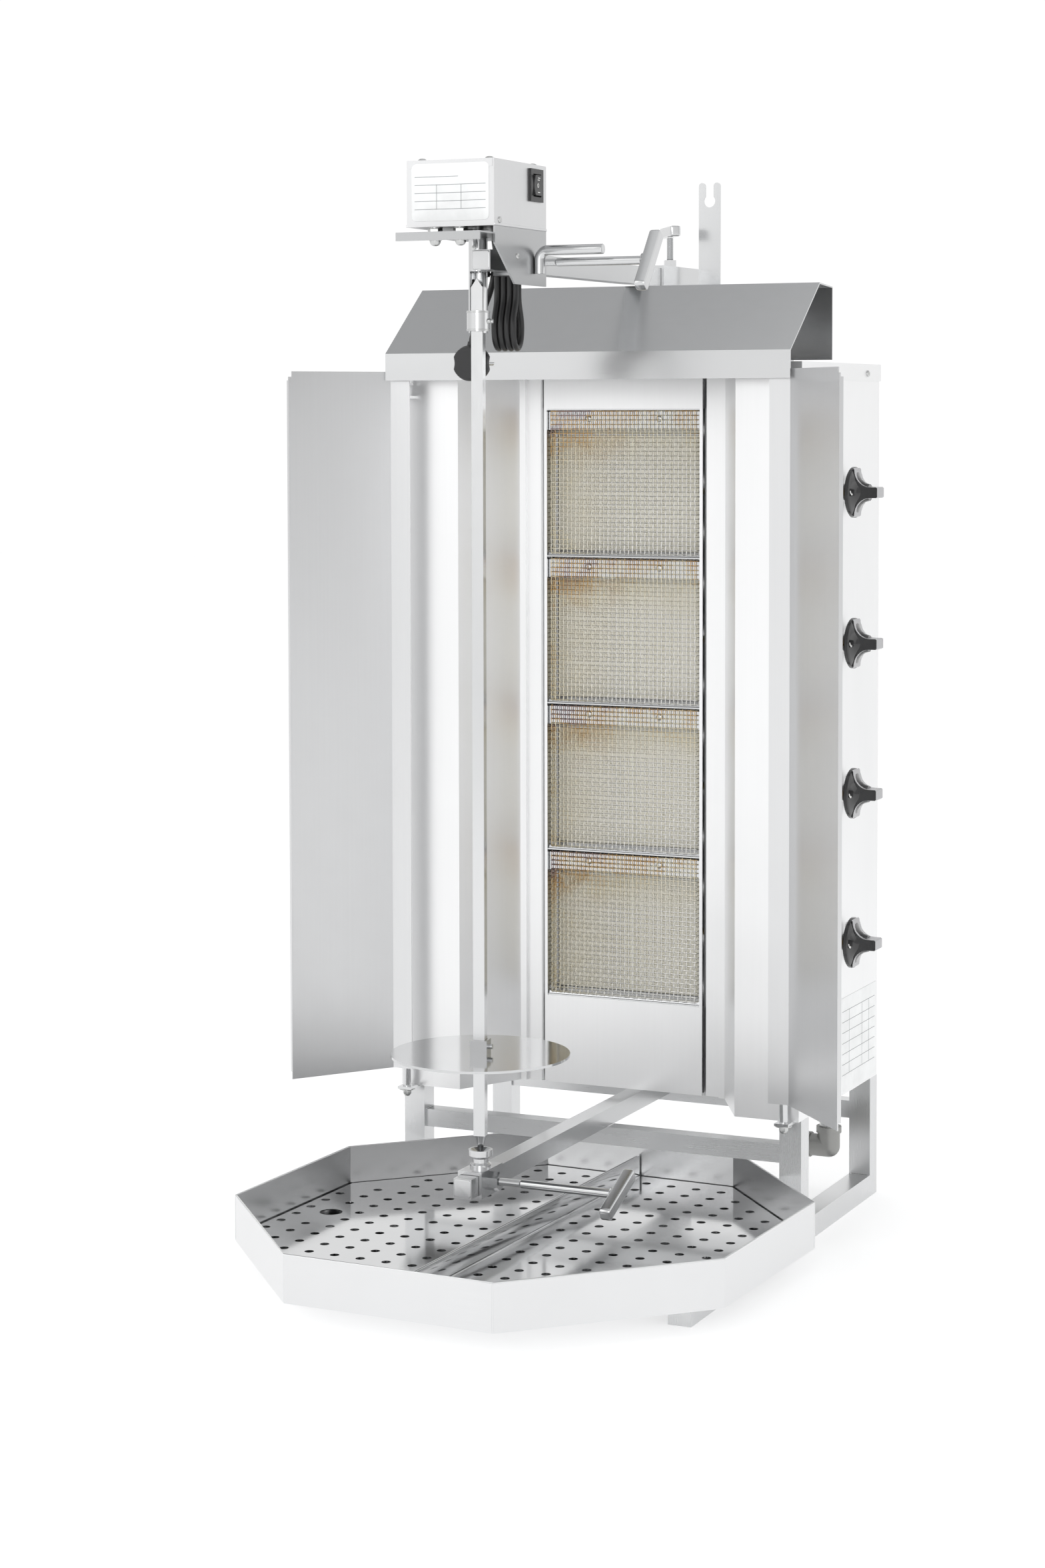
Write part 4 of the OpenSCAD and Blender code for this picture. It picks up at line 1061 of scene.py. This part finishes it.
s = Shape()
for side in (-1, 1):
    x = side * HINGE_X
    s.lathe([(2.6, 0), (9, 0), (9, 1.1), (2.6, 1.1), (2.6, 0)], (x, HINGE_Y, 135.3), "z", 32)
    s.hexagon((x, HINGE_Y, 130.4), "z", 8.6, 5, 0.2)
    s.lathe([(4.1, 0), (3.8, -1.6), (2.4, -3), (0, -3.4)], (x, HINGE_Y, 130.8), "z", 24)
    s.thread((x, HINGE_Y, 139.6), "z", 6, 21)
    s.lathe([(2.6, 0), (6.5, 0), (6.5, 1), (2.6, 1), (2.6, 0)], (x, HINGE_Y, 161), "z", 32)
s.done("hinge_nuts", "zinc", "frame", "bright_steel")


def weld(s, at, axis, length, r=1.1):
    """Short fillet run: a row of overlapping ripples."""
    n = max(3, round(length / 1.6))
    v = {"x": Vector((1, 0, 0)), "y": Vector((0, 1, 0)), "z": Vector((0, 0, 1))}[axis]
    pts = [Vector(at) + v * (length * k / n) for k in range(n + 1)]
    s.tube(pts, [r * (0.8 + 0.3 * (k % 2)) for k in range(n + 1)], 8)


s = Shape()
for side in (-1, 1):
    x = side * FRAME_X
    for y in (4, 240):
        for z in (89, 109):
            weld(s, (x, y + 2, z), "y", 16, 0.9)
    for y in (25, 237):
        weld(s, (min(x, side * (FRAME_X + TUBE)) + 2, y, TUBE), "x", 21, 0.9)
for x in (-10, 10):
    for y in (4, 240):
        weld(s, (x, y + 2, 109), "y", 16, 0.9)
s.done("weld_runs", "bright", "frame", "frame_steel")


# ---------------------------------------------------------------- light and floor
floor = bpy.data.meshes.new("floor")
bm = bmesh.new()
bmesh.ops.create_grid(bm, x_segments=1, y_segments=1, size=14)
bm.to_mesh(floor)
bm.free()
floor_obj = OBJ.new("floor", floor)
C.collection.objects.link(floor_obj)
t = Tree("studio_floor").put(Roughness=0.9, Specular_IOR_Level=0.1, Emission_Strength=0.39)
t.put(Emission_Color=(1, 1, 1, 1))
t.color(t.mix(t.noise(1.5, 2), (0.93, 0.93, 0.93), (0.95, 0.95, 0.95)))
floor.materials.append(t.mat)

world = bpy.data.worlds.new("studio")
C.scene.world = world
world.use_nodes = True
wn, wl = world.node_tree.nodes, world.node_tree.links
bg = wn["Background"]
tc = wn.new("ShaderNodeTexCoord")
sep = wn.new("ShaderNodeSeparateXYZ")
wl.new(tc.outputs["Generated"], sep.inputs[0])
ramp = wn.new("ShaderNodeValToRGB")
e = ramp.color_ramp.elements
e[0].position, e[0].color = 0.34, (1.0, 1.0, 1.0, 1)
e[1].position, e[1].color = 0.90, (0.42, 0.425, 0.43, 1)
wl.new(sep.outputs[2], ramp.inputs["Fac"])
both = wn.new("ShaderNodeMath")
both.operation = "MULTIPLY"
# darker towards the right and the left, so that the upright sheets show their folds
for n, values in enumerate(((0.55, 1.0, 1.0, 0.62), (-1.0, -0.55, 0.84, 1.0))):
    fade = wn.new("ShaderNodeMapRange")
    for k, v in zip(("From Min", "From Max", "To Min", "To Max"), values):
        fade.inputs[k].default_value = v
    wl.new(sep.outputs[0], fade.inputs["Value"])
    wl.new(fade.outputs["Result"], both.inputs[n])
mul = wn.new("ShaderNodeMix")
mul.data_type, mul.blend_type = "RGBA", "MULTIPLY"
mul.inputs[0].default_value = 1.0
wl.new(ramp.outputs["Color"], mul.inputs[6])
wl.new(both.outputs[0], mul.inputs[7])
wl.new(mul.outputs[2], bg.inputs["Color"])
bg.inputs["Strength"].default_value = 1.03


def lamp(name, at, to, size, power):
    d = bpy.data.lights.new(name, "AREA")
    d.shape, d.size, d.size_y, d.energy = "RECTANGLE", size[0], size[1], power
    o = OBJ.new(name, d)
    C.collection.objects.link(o)
    o.location = at
    o.rotation_euler = (Vector(to) - Vector(at)).to_track_quat("-Z", "Y").to_euler()
    return o


lamp("key", (-2.6, -3.4, 2.6), (0, 0, 0.5), (2.2, 2.6), 20)
lamp("fill", (3.2, 1.0, 1.8), (0, 0, 0.6), (2.0, 2.4), 7)
lamp("front", (0.9, -4.2, 1.3), (0, 0.1, 0.6), (1.6, 1.6), 16)
lamp("top", (0.2, -0.2, 4.2), (0, 0, 0), (3.0, 3.0), 12)
C.scene.view_settings.view_transform = "Standard"
C.scene.view_settings.exposure = 0.0
